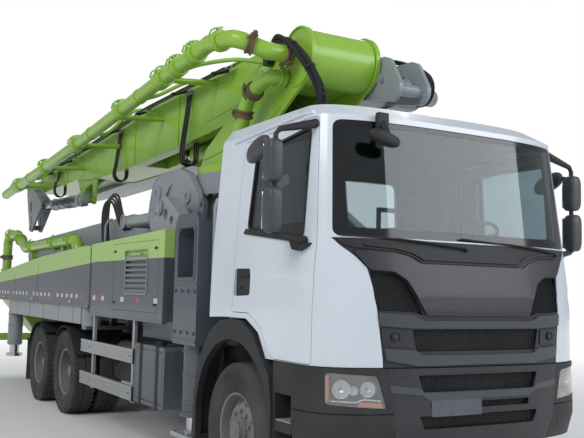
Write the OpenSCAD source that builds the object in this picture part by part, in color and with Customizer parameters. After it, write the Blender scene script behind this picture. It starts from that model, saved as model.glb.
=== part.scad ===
// Concrete pump truck, folded for the road. Millimetres, +X forward, +Y left, +Z up.
// The origin is on the ground, under the middle of the truck's length and width.

/* [Wheels and axles] */
// Front axle's place along the truck
front_axle_x = 4400; // [4300:10:4500]
// Distance from the front axle to the first rear axle
wheelbase = 4900; // [4800:10:5000]
// Distance between the two rear axles
bogie_gap = 1350; // [1300:10:1400]
// Tyre's outside radius
tyre_r = 520; // [505:1:530]
// Front tyre's width
front_tyre_w = 300; // [280:1:310]
// Rear tyre's width
rear_tyre_w = 286; // [270:1:290]
// Rim's radius under the tyre's bead
rim_r = 290; // [280:1:300]
// Outer face of the front tyres from the middle
front_track_face = 1215; // [1200:1:1225]
// Outer face of the rear tyres from the middle
rear_track_face = 1220; // [1200:1:1230]
// Gap between twin tyres
twin_gap = 50; // [40:1:60]

// Kingpin of a front wheel from the middle
kingpin_y = 875; // [870:1:880]
// Radial clearance of a pin or rod in its bore
fit = 0.05; // [0.02:0.01:0.1]

/* [Frame] */
// Outer face of a frame rail from the middle
rail_y = 430; // [420:1:440]
// Depth of a frame rail
rail_h = 270; // [250:1:290]
// Top of the frame rails above the ground
rail_top = 1050; // [1040:1:1060]
// Thickness of a rail's web and flanges
rail_t = 10; // [8:1:12]

/* [Cab] */
// Half width of the cab at the belt
cab_w = 1222; // [1210:1:1230]
// Rear wall of the cab
cab_rear = 3870; // [3860:1:3900]
// Cab wall and door thickness
wall = 50; // [45:1:60]
// Roof height
roof_z = 2935; // [2920:1:2945]
// Gap around a closed door
door_gap = 5; // [5:1:6]
// Glass thickness
glass_t = 6; // [5:1:8]

/* [Boom] */
// Slewing axis along the truck
slew_x = 2400; // [2380:1:2420]
// Radius of the slewing ring's skirt
ring_r = 680; // [660:1:700]
// Top of the fixed slewing skirt
ring_top = 2780; // [2770:1:2790]
// Root pin of the first arm, along the truck
root_x = 4000; // [3980:1:4020]
// Root pin of the first arm, height
root_z = 3665; // [3650:1:3680]
// Side faces of the first arm, right then left
arm1_y0 = -450; // [-455:1:-445]
arm1_y1 = 170; // [165:1:175]
// Radius of the round end of the first arm
drum_r = 250; // [240:1:255]
// Plate thickness of the turret's cheeks
cheek_t = 30; // [25:1:35]
// Clearance beside the first arm's root
side_gap = 8; // [6:1:10]
// Rear knuckle, along and up
k1_x = -5350; // [-5370:1:-5330]
k1_z = 3420; // [3410:1:3430]
// Front knuckle, along and up
k2_x = 3900; // [3880:1:3920]
k2_z = 3560; // [3550:1:3570]
// Third knuckle, along and up
k3_x = -4700; // [-4720:1:-4680]
k3_z = 3400; // [3390:1:3410]
// Outside diameter of the delivery pipe
pipe_d = 150; // [140:1:160]

// How far a bend's wall stands out over the straight pipe
bend_lip = 2; // [1:1:4]
// Outside diameter of the line's end, for the end hose
hose_d = 125; // [100:1:140]

/* [Outriggers] */
// Front leg, along the truck
leg_x = 3445; // [3440:1:3450]
// Front leg's width along the truck
leg_w = 500; // [480:1:510]
// Outer face of the front leg from the middle
leg_y = 1250; // [1240:1:1252]
// Hinge of a rear outrigger, along the truck
swing_x = 300; // [290:1:310]
// Jack of a rear outrigger, along the truck
jack_x = -3850; // [-3880:1:-3820]

/* [Body] */
// Outer face of the body's side panels from the middle
side_y = 1250; // [1240:1:1252]
// Front and rear of the louvred side box
box_x1 = 2930; // [2900:1:2940]
box_x0 = 625; // [600:1:640]
// Rear end of the hopper
hopper_x0 = -5830; // [-5840:1:-5820]
// Front end of the hopper
hopper_x1 = -4860; // [-4870:1:-4855]

/* [Hidden] */
mid_x = front_axle_x - wheelbase;
rear_x = mid_x - bogie_gap;
axle_z = tyre_r;
ring_top2 = ring_top + 80;
cheek_y0 = arm1_y0 - side_gap - cheek_t;
cheek_y1 = arm1_y1 + side_gap + cheek_t;
eps = 1;
// Well outside the cab's side, well inside it, and the cab's trim inside the walls
cab_out = cab_w + 78;
cab_in = cab_w - 272;
cab_trim = cab_w - 142;
mirror_y = cab_w + 208;

// Colours
green = [0.43, 0.65, 0.20];
olive = [0.47, 0.61, 0.35];
slate = [0.29, 0.33, 0.38];
grey = [0.54, 0.58, 0.61];
white = [0.80, 0.84, 0.88];
dark = [0.13, 0.14, 0.15];
steel = [0.62, 0.63, 0.64];
black = [0.05, 0.05, 0.05];

// Outlines pulled out along one axis
module xz(y0, y1) {
  translate([0, y1, 0]) rotate([90, 0, 0]) linear_extrude(y1 - y0) children();
}
module yz(x0, x1) {
  translate([x0, 0, 0]) rotate([90, 0, 90]) linear_extrude(x1 - x0) children();
}
module xy(z0, z1) {
  translate([0, 0, z0]) linear_extrude(z1 - z0) children();
}
module box(a, b) {
  translate(a) cube([b[0] - a[0], b[1] - a[1], b[2] - a[2]]);
}
module rod_y(x, z, r, y0, y1, fn = 48) {
  translate([x, y1, z]) rotate([90, 0, 0]) cylinder(r = r, h = y1 - y0, $fn = fn);
}
// A round bar from a to b
module bar(a, b, r, fn = 32) {
  d = b - a;
  l = norm(d);
  translate(a)
    rotate([0, acos(d[2] / l), atan2(d[1], d[0])])
      cylinder(r = r, h = l, $fn = fn);
}
function unit(v) = v / norm(v);
// A round run through the points, bent to radius rb at each of the inner ones
module run(pts, r, rb) {
  n = len(pts);
  u = [for (i = [0:n - 2]) unit(pts[i + 1] - pts[i])];
  t = [for (i = [0:n - 1]) (i == 0 || i == n - 1) ? 0
    : rb * tan(acos(u[i - 1] * u[i]) / 2)];
  for (i = [0:n - 2]) bar(pts[i] + u[i] * t[i], pts[i + 1] - u[i] * t[i + 1], r);
  for (i = [1:n - 2]) {
    a = acos(u[i - 1] * u[i]);
    ey = u[i - 1];
    ex = -unit(u[i] - (u[i] * ey) * ey);
    ez = cross(ex, ey);
    c = pts[i] - ey * t[i] - ex * rb;
    multmatrix([[ex[0], ey[0], ez[0], c[0]], [ex[1], ey[1], ez[1], c[1]], [ex[2], ey[2], ez[2], c[2]],
      [0, 0, 0, 1]])
      rotate_extrude(angle = a, $fn = 48) translate([rb, 0]) circle(r = r + bend_lip, $fn = 32);
  }
}
// The piece for one side: side -1 is the right, 1 is the left
module on_side(side) {
  if (side > 0) children();
  else mirror([0, 1, 0]) children();
}

// Wheels
module tyre(w) {
  rotate([90, 0, 0]) rotate_extrude($fn = 48) polygon([
    [rim_r, -w / 2 + 28], [rim_r + 90, -w / 2], [tyre_r - 62, -w / 2 + 4], [tyre_r - 10, -w / 2 + 26],
    [tyre_r, -w / 2 + 42], [tyre_r, w / 2 - 42], [tyre_r - 10, w / 2 - 26], [tyre_r - 62, w / 2 - 4],
    [rim_r + 90, w / 2], [rim_r, w / 2 - 28]
  ]);
}
// A steel disc wheel; dish is how far the disc stands out of the middle
module rim(w, dish) {
  rotate([90, 0, 0]) {
    difference() {
      rotate_extrude($fn = 48) polygon([
        [0, dish - 10], [185, dish - 10], [235, dish - 60], [258, -w / 2 + 20], [rim_r, -w / 2 + 20],
        [rim_r, w / 2 - 20], [272, w / 2 - 20], [262, dish - 30], [240, dish - 30],
        [200, dish + 12], [0, dish + 12]
      ]);
      for (i = [0:9])
        rotate([0, 0, i * 36]) translate([218, 0, dish - 100]) cylinder(r = 22, h = 200, $fn = 24);
    }
    translate([0, 0, dish + 12]) cylinder(r = 105, h = 26, $fn = 48);
    translate([0, 0, dish + 38]) cylinder(r = 80, h = 34, $fn = 48);
    for (i = [0:9])
      rotate([0, 0, i * 36 + 18]) translate([150, 0, dish + 11]) cylinder(r = 16, h = 26, $fn = 6);
  }
}
module front_tyre(side) {
  color(black) on_side(side)
    translate([front_axle_x, front_track_face - front_tyre_w / 2, axle_z]) tyre(front_tyre_w);
}
// The rim's disc of a front wheel stands outward
module front_rim(side) {
  color(grey) on_side(side)
    translate([front_axle_x, front_track_face - front_tyre_w / 2, axle_z])
      mirror([0, 1, 0]) rim(front_tyre_w - 24, 70);
}
rear_mid_y = rear_track_face - rear_tyre_w - twin_gap / 2;
module twin_tyres(x, side) {
  color(black) on_side(side)
    for (s = [-1, 1])
      translate([x, rear_mid_y + s * (rear_tyre_w + twin_gap) / 2, axle_z]) tyre(rear_tyre_w);
}
// The outer rim is dished in, and the inner rim carries it
module twin_rims(x, side) {
  color(grey) on_side(side) {
    translate([x, rear_mid_y, axle_z]) rotate([90, 0, 0]) {
      difference() {
        for (s = [-1, 1]) translate([0, 0, s * (rear_tyre_w + twin_gap) / 2]) difference() {
          cylinder(r = rim_r, h = rear_tyre_w - 56, center = true, $fn = 48);
          cylinder(r = rim_r - 20, h = rear_tyre_w, center = true, $fn = 48);
        }
      }
      difference() {
        translate([0, 0, -70]) cylinder(r = rim_r - 19, h = 140, $fn = 48);
        for (i = [0:9])
          rotate([0, 0, i * 36]) translate([215, 0, -80]) cylinder(r = 22, h = 160, $fn = 24);
      }
      translate([0, 0, -190]) cylinder(r = 120, h = 380, $fn = 48);
      for (i = [0:9])
        rotate([0, 0, i * 36 + 18]) translate([165, 0, -85]) cylinder(r = 16, h = 170, $fn = 6);
    }
  }
}

// Frame and running gear
module frame_rails() {
  color(dark) {
    for (s = [-1, 1]) on_side(s) {
      difference() {
        box([-4905, rail_y - 80, rail_top - rail_h], [5350, rail_y, rail_top]);
        box([-4906, rail_y - 81, rail_top - rail_h + rail_t], [5351, rail_y - rail_t, rail_top - rail_t]);
      }
    }
    for (x = [-4700, -3300, -2500, -1175, 200, 1200, 2000, 2900, 5200])
      box([x - 50, -rail_y + rail_t - eps, rail_top - 210], [x + 50, rail_y - rail_t + eps, rail_top - 50]);
  }
}
module leaf_spring(x, y, l, z) {
  for (i = [0:3])
    box([x - l / 2 + i * 90, y - 45, z + i * 18 - eps], [x + l / 2 - i * 90, y + 45, z + i * 18 + 18]);
}
module axles() {
  color(dark) {
    // Front beam, dropped in the middle, with its springs and shackle blocks
    yz(front_axle_x - 55, front_axle_x + 55) polygon([
      [-kingpin_y - 30, 455], [-700, 455], [-560, 400], [560, 400], [700, 455], [kingpin_y + 30, 455],
      [kingpin_y + 30, 585], [700, 585], [540, 520], [-540, 520], [-700, 585], [-kingpin_y - 30, 585]]);
    for (s = [-1, 1])
      translate([front_axle_x, s * kingpin_y, 405]) cylinder(r = 25, h = 240, $fn = 32);
    for (s = [-1, 1]) on_side(s) {
      leaf_spring(front_axle_x, 390, 1500, 519);
      for (dx = [-720, 720])
        box([front_axle_x + dx - 60, 350, 518], [front_axle_x + dx + 60, 430, rail_top - rail_h]);
      box([front_axle_x - 60, 350, 510], [front_axle_x + 60, 430, 640]);
    }
    // Rear axles with round differential housings, springs and the bogie's trunnions
    for (x = [mid_x, rear_x]) {
      rod_y(x, axle_z, 75, -rear_mid_y + 196, rear_mid_y - 196);
      translate([x - 40, 0, axle_z]) rotate([0, 90, 0]) cylinder(r = 215, h = 80, $fn = 48);
      translate([x - 190, 0, axle_z]) rotate([0, 90, 0]) cylinder(r1 = 90, r2 = 170, h = 150, $fn = 48);
    }
    for (s = [-1, 1]) on_side(s) {
      leaf_spring((mid_x + rear_x) / 2, 470, 1500, 594);
      box([mid_x - 100, 420, 560], [mid_x + 100, 520, 600]);
      box([rear_x - 100, 420, 560], [rear_x + 100, 520, 600]);
      box([(mid_x + rear_x) / 2 - 110, 380, 640], [(mid_x + rear_x) / 2 + 110, 515, rail_top - rail_h]);
    }
    // Propeller shafts
    bar([3959, 0, 790], [mid_x + 35, 0, axle_z + 30], 55);
    bar([mid_x - 180, 0, axle_z], [rear_x + 35, 0, axle_z], 50);
  }
}
module engine_block() {
  color(dark) box([3965, -330, 600], [5150, 330, 1100]);
}
module knuckle(side) {
  color(dark) on_side(side) {
    difference() {
      box([front_axle_x - 70, kingpin_y - 30, 410], [front_axle_x + 70, kingpin_y + 105, 640]);
      box([front_axle_x - 71, kingpin_y - 31, 447], [front_axle_x + 71, kingpin_y + 75, 593]);
      translate([front_axle_x, kingpin_y, 400]) cylinder(r = 25 + fit, h = 260, $fn = 32);
    }
    rod_y(front_axle_x, axle_z, 60, kingpin_y + 104, front_track_face - front_tyre_w / 2 + 60 - fit);
    bar([front_axle_x + 60, kingpin_y + 20, 425], [front_axle_x + 330, kingpin_y - 70, 425], 14);
  }
}

// Cab
// Plan of the cab at one height, widest at w, its corner starting at xc and its front at xf
function arc(w, xc, xf) = [for (i = [0:12]) let (t = i * 7.5)
  [xc + (xf - xc) * pow(sin(t), 0.667), w * pow(cos(t), 0.667)]];
module plan(w, xc, xf, xr) {
  a = arc(w, xc, xf);
  polygon(concat([[xr, -w + 45], [xr + 45, -w]],
    [for (p = a) [p[0], -p[1]]], [for (i = [11:-1:0]) a[i]], [[xr + 45, w], [xr, w - 45]]));
}
// Plans of the cab: height, half width, corner, front
cab_sections = [
  [1110, cab_w, 5300, 5812],
  [1500, cab_w, 5300, 5806],
  [1950, cab_w - 17, 5310, 5700],
  [2830, cab_w - 82, 5230, 5590],
  [roof_z, cab_w - 165, 5090, 5400]
];
module slice(s, inset) {
  translate([0, 0, s[0]]) linear_extrude(eps)
    plan(s[1] - inset, s[2] - inset * 0.5, s[3] - inset, cab_rear + inset);
}
module cab_body(inset = 0) {
  for (i = [0:len(cab_sections) - 2]) hull() {
    slice(cab_sections[i], inset);
    translate([0, 0, (i == len(cab_sections) - 2) ? -inset - eps : 0]) slice(cab_sections[i + 1], inset);
  }
}
door_line = [[4325, 1425], [4600, 1425], [4790, 1330], [4910, 1160], [4985, 1113], [5484, 1113],
  [5486, 1950], [5392, 2815], [4335, 2768]];
door_window = [[4515, 2070], [5362, 1972], [5335, 2742], [4552, 2655]];
screen_line = [[130 - cab_w, 1975], [cab_w - 130, 1975], [cab_w - 177, 2790], [177 - cab_w, 2790]];
// Half outline of the dark middle of the front: distance in from the cab's side, and height
mask_half = [for (p = [[422, 1000], [416, 1171], [377, 1478], [356, 1644], [332, 1764], [262, 1840], [172, 1910],
  [122, 1965]]) [cab_w - p[0], p[1]]];
function both(h) = concat(h, [for (i = [len(h) - 1:-1:0]) [-h[i][0], h[i][1]]]);
wheel_cut = [[3860, 900], [3860, 1372], [4150, 1385], [4560, 1385], [4760, 1290], [4880, 1120], [4880, 900]];

module door_prism(side, g) {
  on_side(side) xz(cab_in, cab_out) offset(delta = -g) polygon(door_line);
}
module cab_shell() {
  color(white) {
    difference() {
      cab_body(0);
      translate([0, 0, 60]) intersection() {
        cab_body(wall);
        box([0, -2000, 0], [7000, 2000, roof_z - 60 - wall]);
      }
      yz(5200, 6000) polygon(screen_line);
      for (s = [-1, 1]) door_prism(s, 0);
      xz(-cab_out, cab_out) polygon(wheel_cut);
      // Opening for the dark middle of the front
      yz(5350, 6000) polygon(both(mask_half));
      // Rear window
      yz(3800, 3950) polygon([[-700, 2100], [700, 2100], [680, 2620], [-680, 2620]]);
    }
    // Roof drip mouldings over the doors
    for (s = [-1, 1]) on_side(s)
      bar([4180, cab_w - 74, 2800], [5330, cab_w - 94, 2850], 14, 16);
    // Raised floor over the wheels
    difference() {
      box([3915, 52 - cab_w, 1380], [5300, cab_w - 52, 1420]);
      for (s = [-1, 1]) door_prism(s, -1);
    }
  }
}
module windscreen() {
  color([0.3, 0.4, 0.45, 0.4]) intersection() {
    difference() {
      cab_body(8);
      cab_body(8 + glass_t);
      box([3000, -2000, 1000], [5200, 2000, 3200]);
    }
    yz(5201, 6000) polygon(screen_line);
  }
}
module door(side) {
  color(white) difference() {
    intersection() {
      cab_body(0);
      door_prism(side, door_gap);
    }
    cab_body(wall);
    on_side(side) xz(cab_in - 50, cab_out) polygon(door_window);
    // Recess behind the handle
    on_side(side) xz(cab_w - 28, cab_out) polygon([[4340, 1550], [4605, 1560], [4600, 1765], [4350, 1765]]);
  }
  // Handle
  color(dark) on_side(side) {
    box([4380, cab_w - 14, 1690], [4580, cab_w - 4, 1722]);
    for (x = [4385, 4545]) box([x, cab_w - 30, 1695], [x + 30, cab_w - 13, 1717]);
  }
}
module door_glass(side) {
  color([0.3, 0.4, 0.45, 0.4]) intersection() {
    difference() {
      cab_body(14);
      cab_body(14 + glass_t);
    }
    on_side(side) xz(cab_in - 50, cab_out) polygon(door_window);
  }
}
module mirror_set(side) {
  color(dark) on_side(side) {
    box([5290, mirror_y - 40, 2330], [5400, mirror_y + 70, 2620]);
    box([5300, mirror_y - 45, 1990], [5410, mirror_y + 70, 2290]);
    bar([5350, mirror_y, 1975], [5350, mirror_y, 2690], 18, 16);
    difference() {
      union() {
        bar([5350, mirror_y, 2690], [5370, cab_w - 112, 2770], 20, 16);
        bar([5350, mirror_y, 1985], [5400, cab_w - 32, 1935], 20, 16);
      }
      cab_body(-0.3);
    }
    bar([5330, mirror_y, 2600], [5130, mirror_y + 20, 2590], 14, 16);
    xz(mirror_y - 5, mirror_y + 30) translate([5060, 2580]) scale([1.5, 0.9]) circle(r = 90, $fn = 48);
  }
}
module seat(y) {
  hull() {
    box([4520, y - 240, 1760], [5000, y + 240, 1800]);
    box([4540, y - 220, 1860], [4980, y + 220, 1880]);
  }
  hull() {
    box([4460, y - 220, 1850], [4560, y + 220, 1870]);
    box([4330, y - 170, 2560], [4400, y + 170, 2600]);
  }
  box([4600, y - 150, 1420], [4900, y + 150, 1765]);
}
module cab_interior() {
  color(dark) {
    seat(620);
    seat(-620);
    // Dashboard across the cab
    xz(-cab_trim, cab_trim) polygon([[5180, 1600], [5290, 1420], [5440, 1420], [5480, 1900], [5320, 1960], [5180, 1880]]);
    // Steering column and wheel on the left
    bar([5250, 620, 1800], [5043, 620, 2036], 30);
    translate([5040, 620, 2040]) rotate([0, -41, 0]) rotate_extrude($fn = 32) translate([215, 0]) circle(r = 16, $fn = 12);
    translate([5040, 620, 2040]) rotate([0, -41, 0]) box([-205, -25, -12], [205, 25, 8]);
    // Engine tunnel
    box([4350, -330, 1420], [5250, 330, 1700]);
  }
}

// Front
module bumper_slice(z, w, xc, xf) {
  translate([0, 0, z]) linear_extrude(eps) plan(w, xc, xf, 5150);
}
module bumper_body(i) {
  hull() {
    bumper_slice(560, cab_w - 17 - i, 5280 - i * 0.5, 5780 - i);
    bumper_slice(720, cab_w + 10 - i, 5290 - i * 0.5, 5828 - i);
  }
  hull() {
    bumper_slice(720, cab_w + 10 - i, 5290 - i * 0.5, 5828 - i);
    bumper_slice(1104, cab_w + 4 - i, 5300 - i * 0.5, 5818 - i);
  }
}
mouth_half = [[550, 1213], [583, 1361]];
intake = [[cab_w - 352, 1748], [697, 1738], [607, 1685], [550, 1591], [492, 1446], [564, 1470], [cab_w - 379, 1480],
  [cab_w - 358, 1644]];
cover_half = [[477, 1455], [550, 1595], [607, 1690], [697, 1745], [cab_w - 222, 1750], [cab_w - 222, 1889], [650, 1866], [554, 1843],
  [470, 1800]];
bar_1 = [[592, 1367], [cab_w - 392, 1384], [cab_w - 382, 1472], [578, 1455], [550, 1434], [490, 1420]];
bar_2 = [[540, 1120], [cab_w - 436, 1159], [cab_w - 422, 1236], [564, 1222], [520, 1190]];
lamp_line = [[cab_w - 439, 840], [cab_out, 872], [cab_out, 1078], [cab_w - 376, 1058]];
module front_panel() {
  color(dark) {
    // Charcoal middle panel, open at the mouth and beside the cover
    intersection() {
      difference() {
        cab_body(6);
        cab_body(wall);
      }
      yz(5492, 6000) difference() {
        intersection() {
          offset(delta = -1) polygon(both(mask_half));
          translate([-1200, 1109]) square([2400, 856]);
        }
        polygon(both(mouth_half));
        for (s = [-1, 1]) scale([s, 1]) polygon(intake);
      }
    }
    // Raised cover and the two bars
    intersection() {
      difference() {
        cab_body(-8);
        cab_body(20);
      }
      yz(5352, 6000) {
        intersection() {
          offset(delta = -8) polygon(both(mask_half));
          polygon(both(cover_half));
        }
        polygon(both(bar_1));
        polygon(both(bar_2));
      }
    }
    // Slats of the mouth and the side intakes
    intersection() {
      difference() {
        cab_body(24);
        cab_body(44);
      }
      yz(5352, 6000) {
        intersection() {
          offset(delta = -1) polygon(both(mask_half));
          offset(delta = 6) {
            polygon(both(mouth_half));
            for (s = [-1, 1]) scale([s, 1]) polygon(intake);
          }
          for (z = [1225:26:1740]) translate([-900, z]) square([1800, 10]);
        }
        for (s = [-1, 1]) translate([s * 300 - 8, 1200]) square([16, 172]);
      }
    }
    // Bumper, open to the lamps and air intakes
    difference() {
      bumper_body(0);
      bumper_body(60);
      box([5100, -2000, 500], [5290, 2000, 1200]);
      for (s = [-1, 1]) on_side(s)
        yz(5200, 6000) polygon(lamp_line);
      yz(5700, 6000) polygon(both([[510, 945], [547, 1056]]));
      yz(5700, 6000) polygon(both([[450, 830], [450, 874]]));
      yz(5700, 6000) polygon(both([[500, 700], [540, 788]]));
    }
    // Slats in the bumper's two intakes
    intersection() {
      difference() {
        bumper_body(22);
        bumper_body(44);
      }
      yz(5700, 6000) {
        for (z = [964:28:1050]) translate([-560, z]) square([1120, 9]);
        for (z = [722:28:780]) translate([-545, z]) square([1090, 9]);
      }
    }
    box([5200, 327 - cab_w, rail_top], [5300, cab_w - 327, 1104]);
    for (s = [-1, 1]) on_side(s) box([5295, cab_w - 342, 1086], [5500, cab_w - 72, 1104]);
    // Kerb mirror on its arm, at the top right
    difference() {
      bar([5545, -700, 2800], [5700, -760, 2700], 14, 16);
      cab_body(-0.3);
    }
    translate([5720, -770, 2640]) scale([0.5, 1.2, 0.8]) sphere(r = 90, $fn = 24);
  }
}
module lamps() {
  color([0.85, 0.87, 0.9]) {
    intersection() {
      difference() {
        bumper_body(4);
        bumper_body(58);
      }
      for (s = [-1, 1]) on_side(s)
        yz(5291, 6000) offset(delta = -2) polygon(lamp_line);
    }
  }
  color([0.6, 0.1, 0.08]) for (s = [-1, 1]) on_side(s)
    box([-5075, 860, 645], [-5040, 1170, 755]);
}
arch_out = [[3665, 370], [3700, 760], [3790, 1040], [3950, 1245], [4150, 1355], [4320, 1374], [4520, 1368],
  [4720, 1280], [4850, 1130], [4990, 1000], [5030, 800], [5030, 370]];
module arches_and_steps() {
  color(dark) for (s = [-1, 1]) on_side(s) {
    difference() {
      xz(1060, cab_w + 23) polygon(arch_out);
      xz(1000, cab_out) intersection() {
        translate([4370, 590]) circle(r = 628, $fn = 64);
        translate([3600, 0]) square([1500, 1300]);
      }
      xz(1000, cab_out) translate([3742, 300]) square([1256, 290]);
      xz(1000, cab_w - 32) offset(delta = -25) polygon(arch_out);
    }
    // Entry steps between the arch and the bumper
    difference() {
      box([5020, cab_w - 322, 380], [5289.5, cab_w + 3, 1105]);
      for (z = [440, 700]) box([5060, cab_w - 202, z], [5293, cab_w + 28, z + 190]);
    }
  }
  rear_mudguards();
}

// Truck body
module tanks() {
  color(slate) for (s = [-1, 1]) on_side(s)
    difference() {
      xz(620, 1225) polygon([[2180, 480], [2930, 480], [2960, 510], [2960, 1020], [2930, 1050], [2180, 1050],
        [2150, 1020], [2150, 510]]);
      xz(1215, 1230) difference() {
        translate([2190, 520]) square([730, 490]);
        translate([2198, 528]) square([714, 474]);
      }
    }
  // Brackets to the frame
  color(dark) for (s = [-1, 1]) on_side(s)
    for (x = [2250, 2800]) box([x, rail_y, 800], [x + 60, 621, 900]);
}
module side_boxes() {
  color(slate) for (s = [-1, 1]) on_side(s) {
    difference() {
      xz(930, side_y) polygon([[box_x0, 1285], [box_x1, 1285], [box_x1, 2150], [box_x0, 2090]]);
      // Louvres, the handle recess over them and the door's shut line
      for (i = [0:5])
        xz(side_y - 25, side_y + 5) translate([1850, 1560 + i * 57]) square([630, 30]);
      xz(side_y - 25, side_y + 5) translate([1805, 1905]) square([715, 85]);
      xz(side_y - 12, side_y + 5) difference() {
        translate([1450, 1360]) square([1340, 700]);
        translate([1456, 1366]) square([1328, 688]);
      }
    }
    for (x = [800, 2880]) {
      box([x - 40, rail_y - 80, rail_top], [x + 40, rail_y, 1400]);
      box([x - 40, rail_y - eps, 1290], [x + 40, 931, 1400]);
    }
  }
}
module side_guards() {
  color([0.75, 0.76, 0.77]) for (s = [-1, 1]) on_side(s) {
    for (z = [470, 840])
      difference() {
        box([300, side_y - 50, z], [2130, side_y - 12, z + 140]);
        for (j = [0:2]) xz(side_y - 18, side_y) translate([290, z + 25 + j * 36]) square([1850, 14]);
      }
    for (x = [640, 2000]) box([x, side_y - 80, 440], [x + 60, side_y - 49, 1285]);
  }
}
module pedestal() {
  color(grey) {
    difference() {
      union() {
        // Column under the slewing ring
        xy(rail_top, 2560) translate([slew_x, 0]) circle(r = 560, $fn = 48);
        // Box for the front outrigger beams, across the frame
        box([3180, -930, 1200], [3710, 930, 1600]);
        // Side plates with the curved slot and their pin bosses
        for (s = [-1, 1]) on_side(s)
          xz(700, 760) polygon([[1160, 2560], [1250, 2780], [1420, 2862], [2030, 2872], [2290, 2790],
            [2490, 2600], [2700, 2200], [2700, 1500], [1100, 1500], [1100, 2400]]);
        box([1100, -701, 1500], [2700, 701, 1700]);
        box([1100, -760, rail_top], [2700, 760, 1501]);
      }
      box([3200, -941, 1248], [3690, 941, 1560]);
      for (s = [-1, 1]) on_side(s) xz(690, 770) polygon([[1760, 2700], [1830, 2720], [1700, 2560], [1560, 2470],
        [1540, 2530], [1650, 2600]]);
      translate([0, 0, 0]) xy(1720, 2570) translate([slew_x, 0]) circle(r = 480, $fn = 48);
    }
    box([2690, -300, 1060], [3185, 300, 1560]);
  }
  color(slate) difference() {
    xy(2559, ring_top) translate([slew_x, 0]) circle(r = ring_r, $fn = 64);
    xy(2500, ring_top + 5) translate([slew_x, 0]) circle(r = 420, $fn = 48);
  }
}
module rest_frame() {
  color(grey) {
    // Long light beam on the deck's right, with the lever and ram at its front
    xz(-760, -560) polygon([[-4800, 2080], [1100, 2080], [1100, 2420], [600, 2480], [-4300, 2360], [-4800, 2260]]);
    xz(560, 760) polygon([[-4800, 2080], [1100, 2080], [1100, 2420], [600, 2480], [-4300, 2360], [-4800, 2260]]);
    for (s = [-1, 1]) on_side(s) {
      bar([1200, 1020, 2330], [2120, 1020, 2320], 65);
      difference() {
        xz(960, 1080) polygon([[2040, 2290], [2080, 2190], [2440, 2150], [2920, 2160], [2960, 2240], [2500, 2500],
          [2380, 2520], [2240, 2440]]);
        xz(950, 1090) translate([2480, 2330]) circle(r = 55, $fn = 32);
        xz(950, 1090) translate([2640, 2260]) circle(r = 45, $fn = 32);
      }
      rod_y(1240, 2330, 60, 760, 1090);
      rod_y(2340, 2400, 55, 760, 1110);
    }
  }
}
deck_top = 1840;
module deck() {
  color(slate) {
    for (s = [-1, 1]) on_side(s) {
      xz(side_y - 40, side_y - 2) polygon([[-5000, 1370], [580, 1370], [580, 2060], [300, 2075], [-2000, 1990],
        [-4700, 1800], [-5000, 1760]]);
      box([540, 930, 1370], [580, side_y - 39, 2050]);
    }
    // Floor with cross members down to the frame
    box([-5000, -side_y + 39, deck_top - 8], [581, side_y - 39, deck_top]);
    for (x = [-4700, -3500, -2300, -1100, 200])
      union() {
        box([x - 40, -1211, deck_top - 90], [x + 40, 1211, deck_top - 7]);
        for (s = [-1, 1]) on_side(s) {
          box([x - 40, rail_y - 80, rail_top], [x + 40, rail_y, deck_top - 89]);
          box([x - 40, 1150, 1378], [x + 40, 1211, deck_top - 89]);
        }
      }
  }
  // Hinge pins of the rear outriggers with their brackets from the frame
  color(slate) for (s = [-1, 1]) on_side(s) {
    box([swing_x - 90, rail_y - 70, 1088], [swing_x + 90, swing_y + 90, 1130]);
    box([swing_x - 90, rail_y - 70, rail_top], [swing_x + 90, 700, 1089]);
    translate([swing_x, swing_y, 1129]) cylinder(r = 45, h = 245, $fn = 48);
  }
  // Steps for the deck beams
  color(slate) for (s = [-1, 1]) on_side(s)
    for (x = [-4800, 490]) box([x, 570, deck_top - 1], [x + 80, 750, 2080]);
}
module rear_mudguards() {
  color(dark) for (s = [-1, 1]) on_side(s) for (x = [mid_x, rear_x])
    difference() {
      xz(600, 1235) difference() {
        translate([x, axle_z]) circle(r = tyre_r + 55, $fn = 64);
        translate([x, axle_z]) circle(r = tyre_r + 47, $fn = 64);
      }
      box([x - 700, 500, -200], [x + 700, 1300, axle_z + 250]);
      box([x - 700 * (x == rear_x ? 0 : 1), 500, 0], [x + 700 * (x == rear_x ? 1 : 0), 1300, axle_z + 440]);
    }
  color(dark) for (s = [-1, 1]) on_side(s) for (x = [mid_x, rear_x])
    box([x - 30, rail_y, rail_top - 30], [x + 30, 590, rail_top + 20]);
  color(dark) for (s = [-1, 1]) on_side(s) for (x = [mid_x, rear_x])
    box([x - 30, 580, rail_top + 10], [x + 30, 640, axle_z + tyre_r + 52]);
}
module hopper() {
  color(green) {
    difference() {
      hull() {
        box([hopper_x0, -1000, 1520], [hopper_x1, 1000, 1560]);
        box([hopper_x0 + 40, -950, 1300], [hopper_x1 - 10, 950, 1310]);
        box([hopper_x0 + 330, -520, 760], [hopper_x1 - 100, 520, 770]);
      }
      hull() {
        box([hopper_x0 + 14, -986, 1540], [hopper_x1 - 14, 986, 1580]);
        box([hopper_x0 + 54, -936, 1300], [hopper_x1 - 24, 936, 1310]);
        box([hopper_x0 + 344, -506, 780], [hopper_x1 - 114, 506, 784]);
      }
    }
    // Legs down from the frame and rear bar
    for (s = [-1, 1]) on_side(s)
      box([hopper_x1 - 16, rail_y - 80, rail_top], [hopper_x1 + 70, rail_y, 1400]);
  }
  color(dark) {
    box([-5040, -1180, 640], [-4960, 1180, 760]);
    for (s = [-1, 1]) on_side(s) box([-4961, rail_y - 70, 700], [-4860, rail_y - 10, 780]);
  }
}
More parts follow.
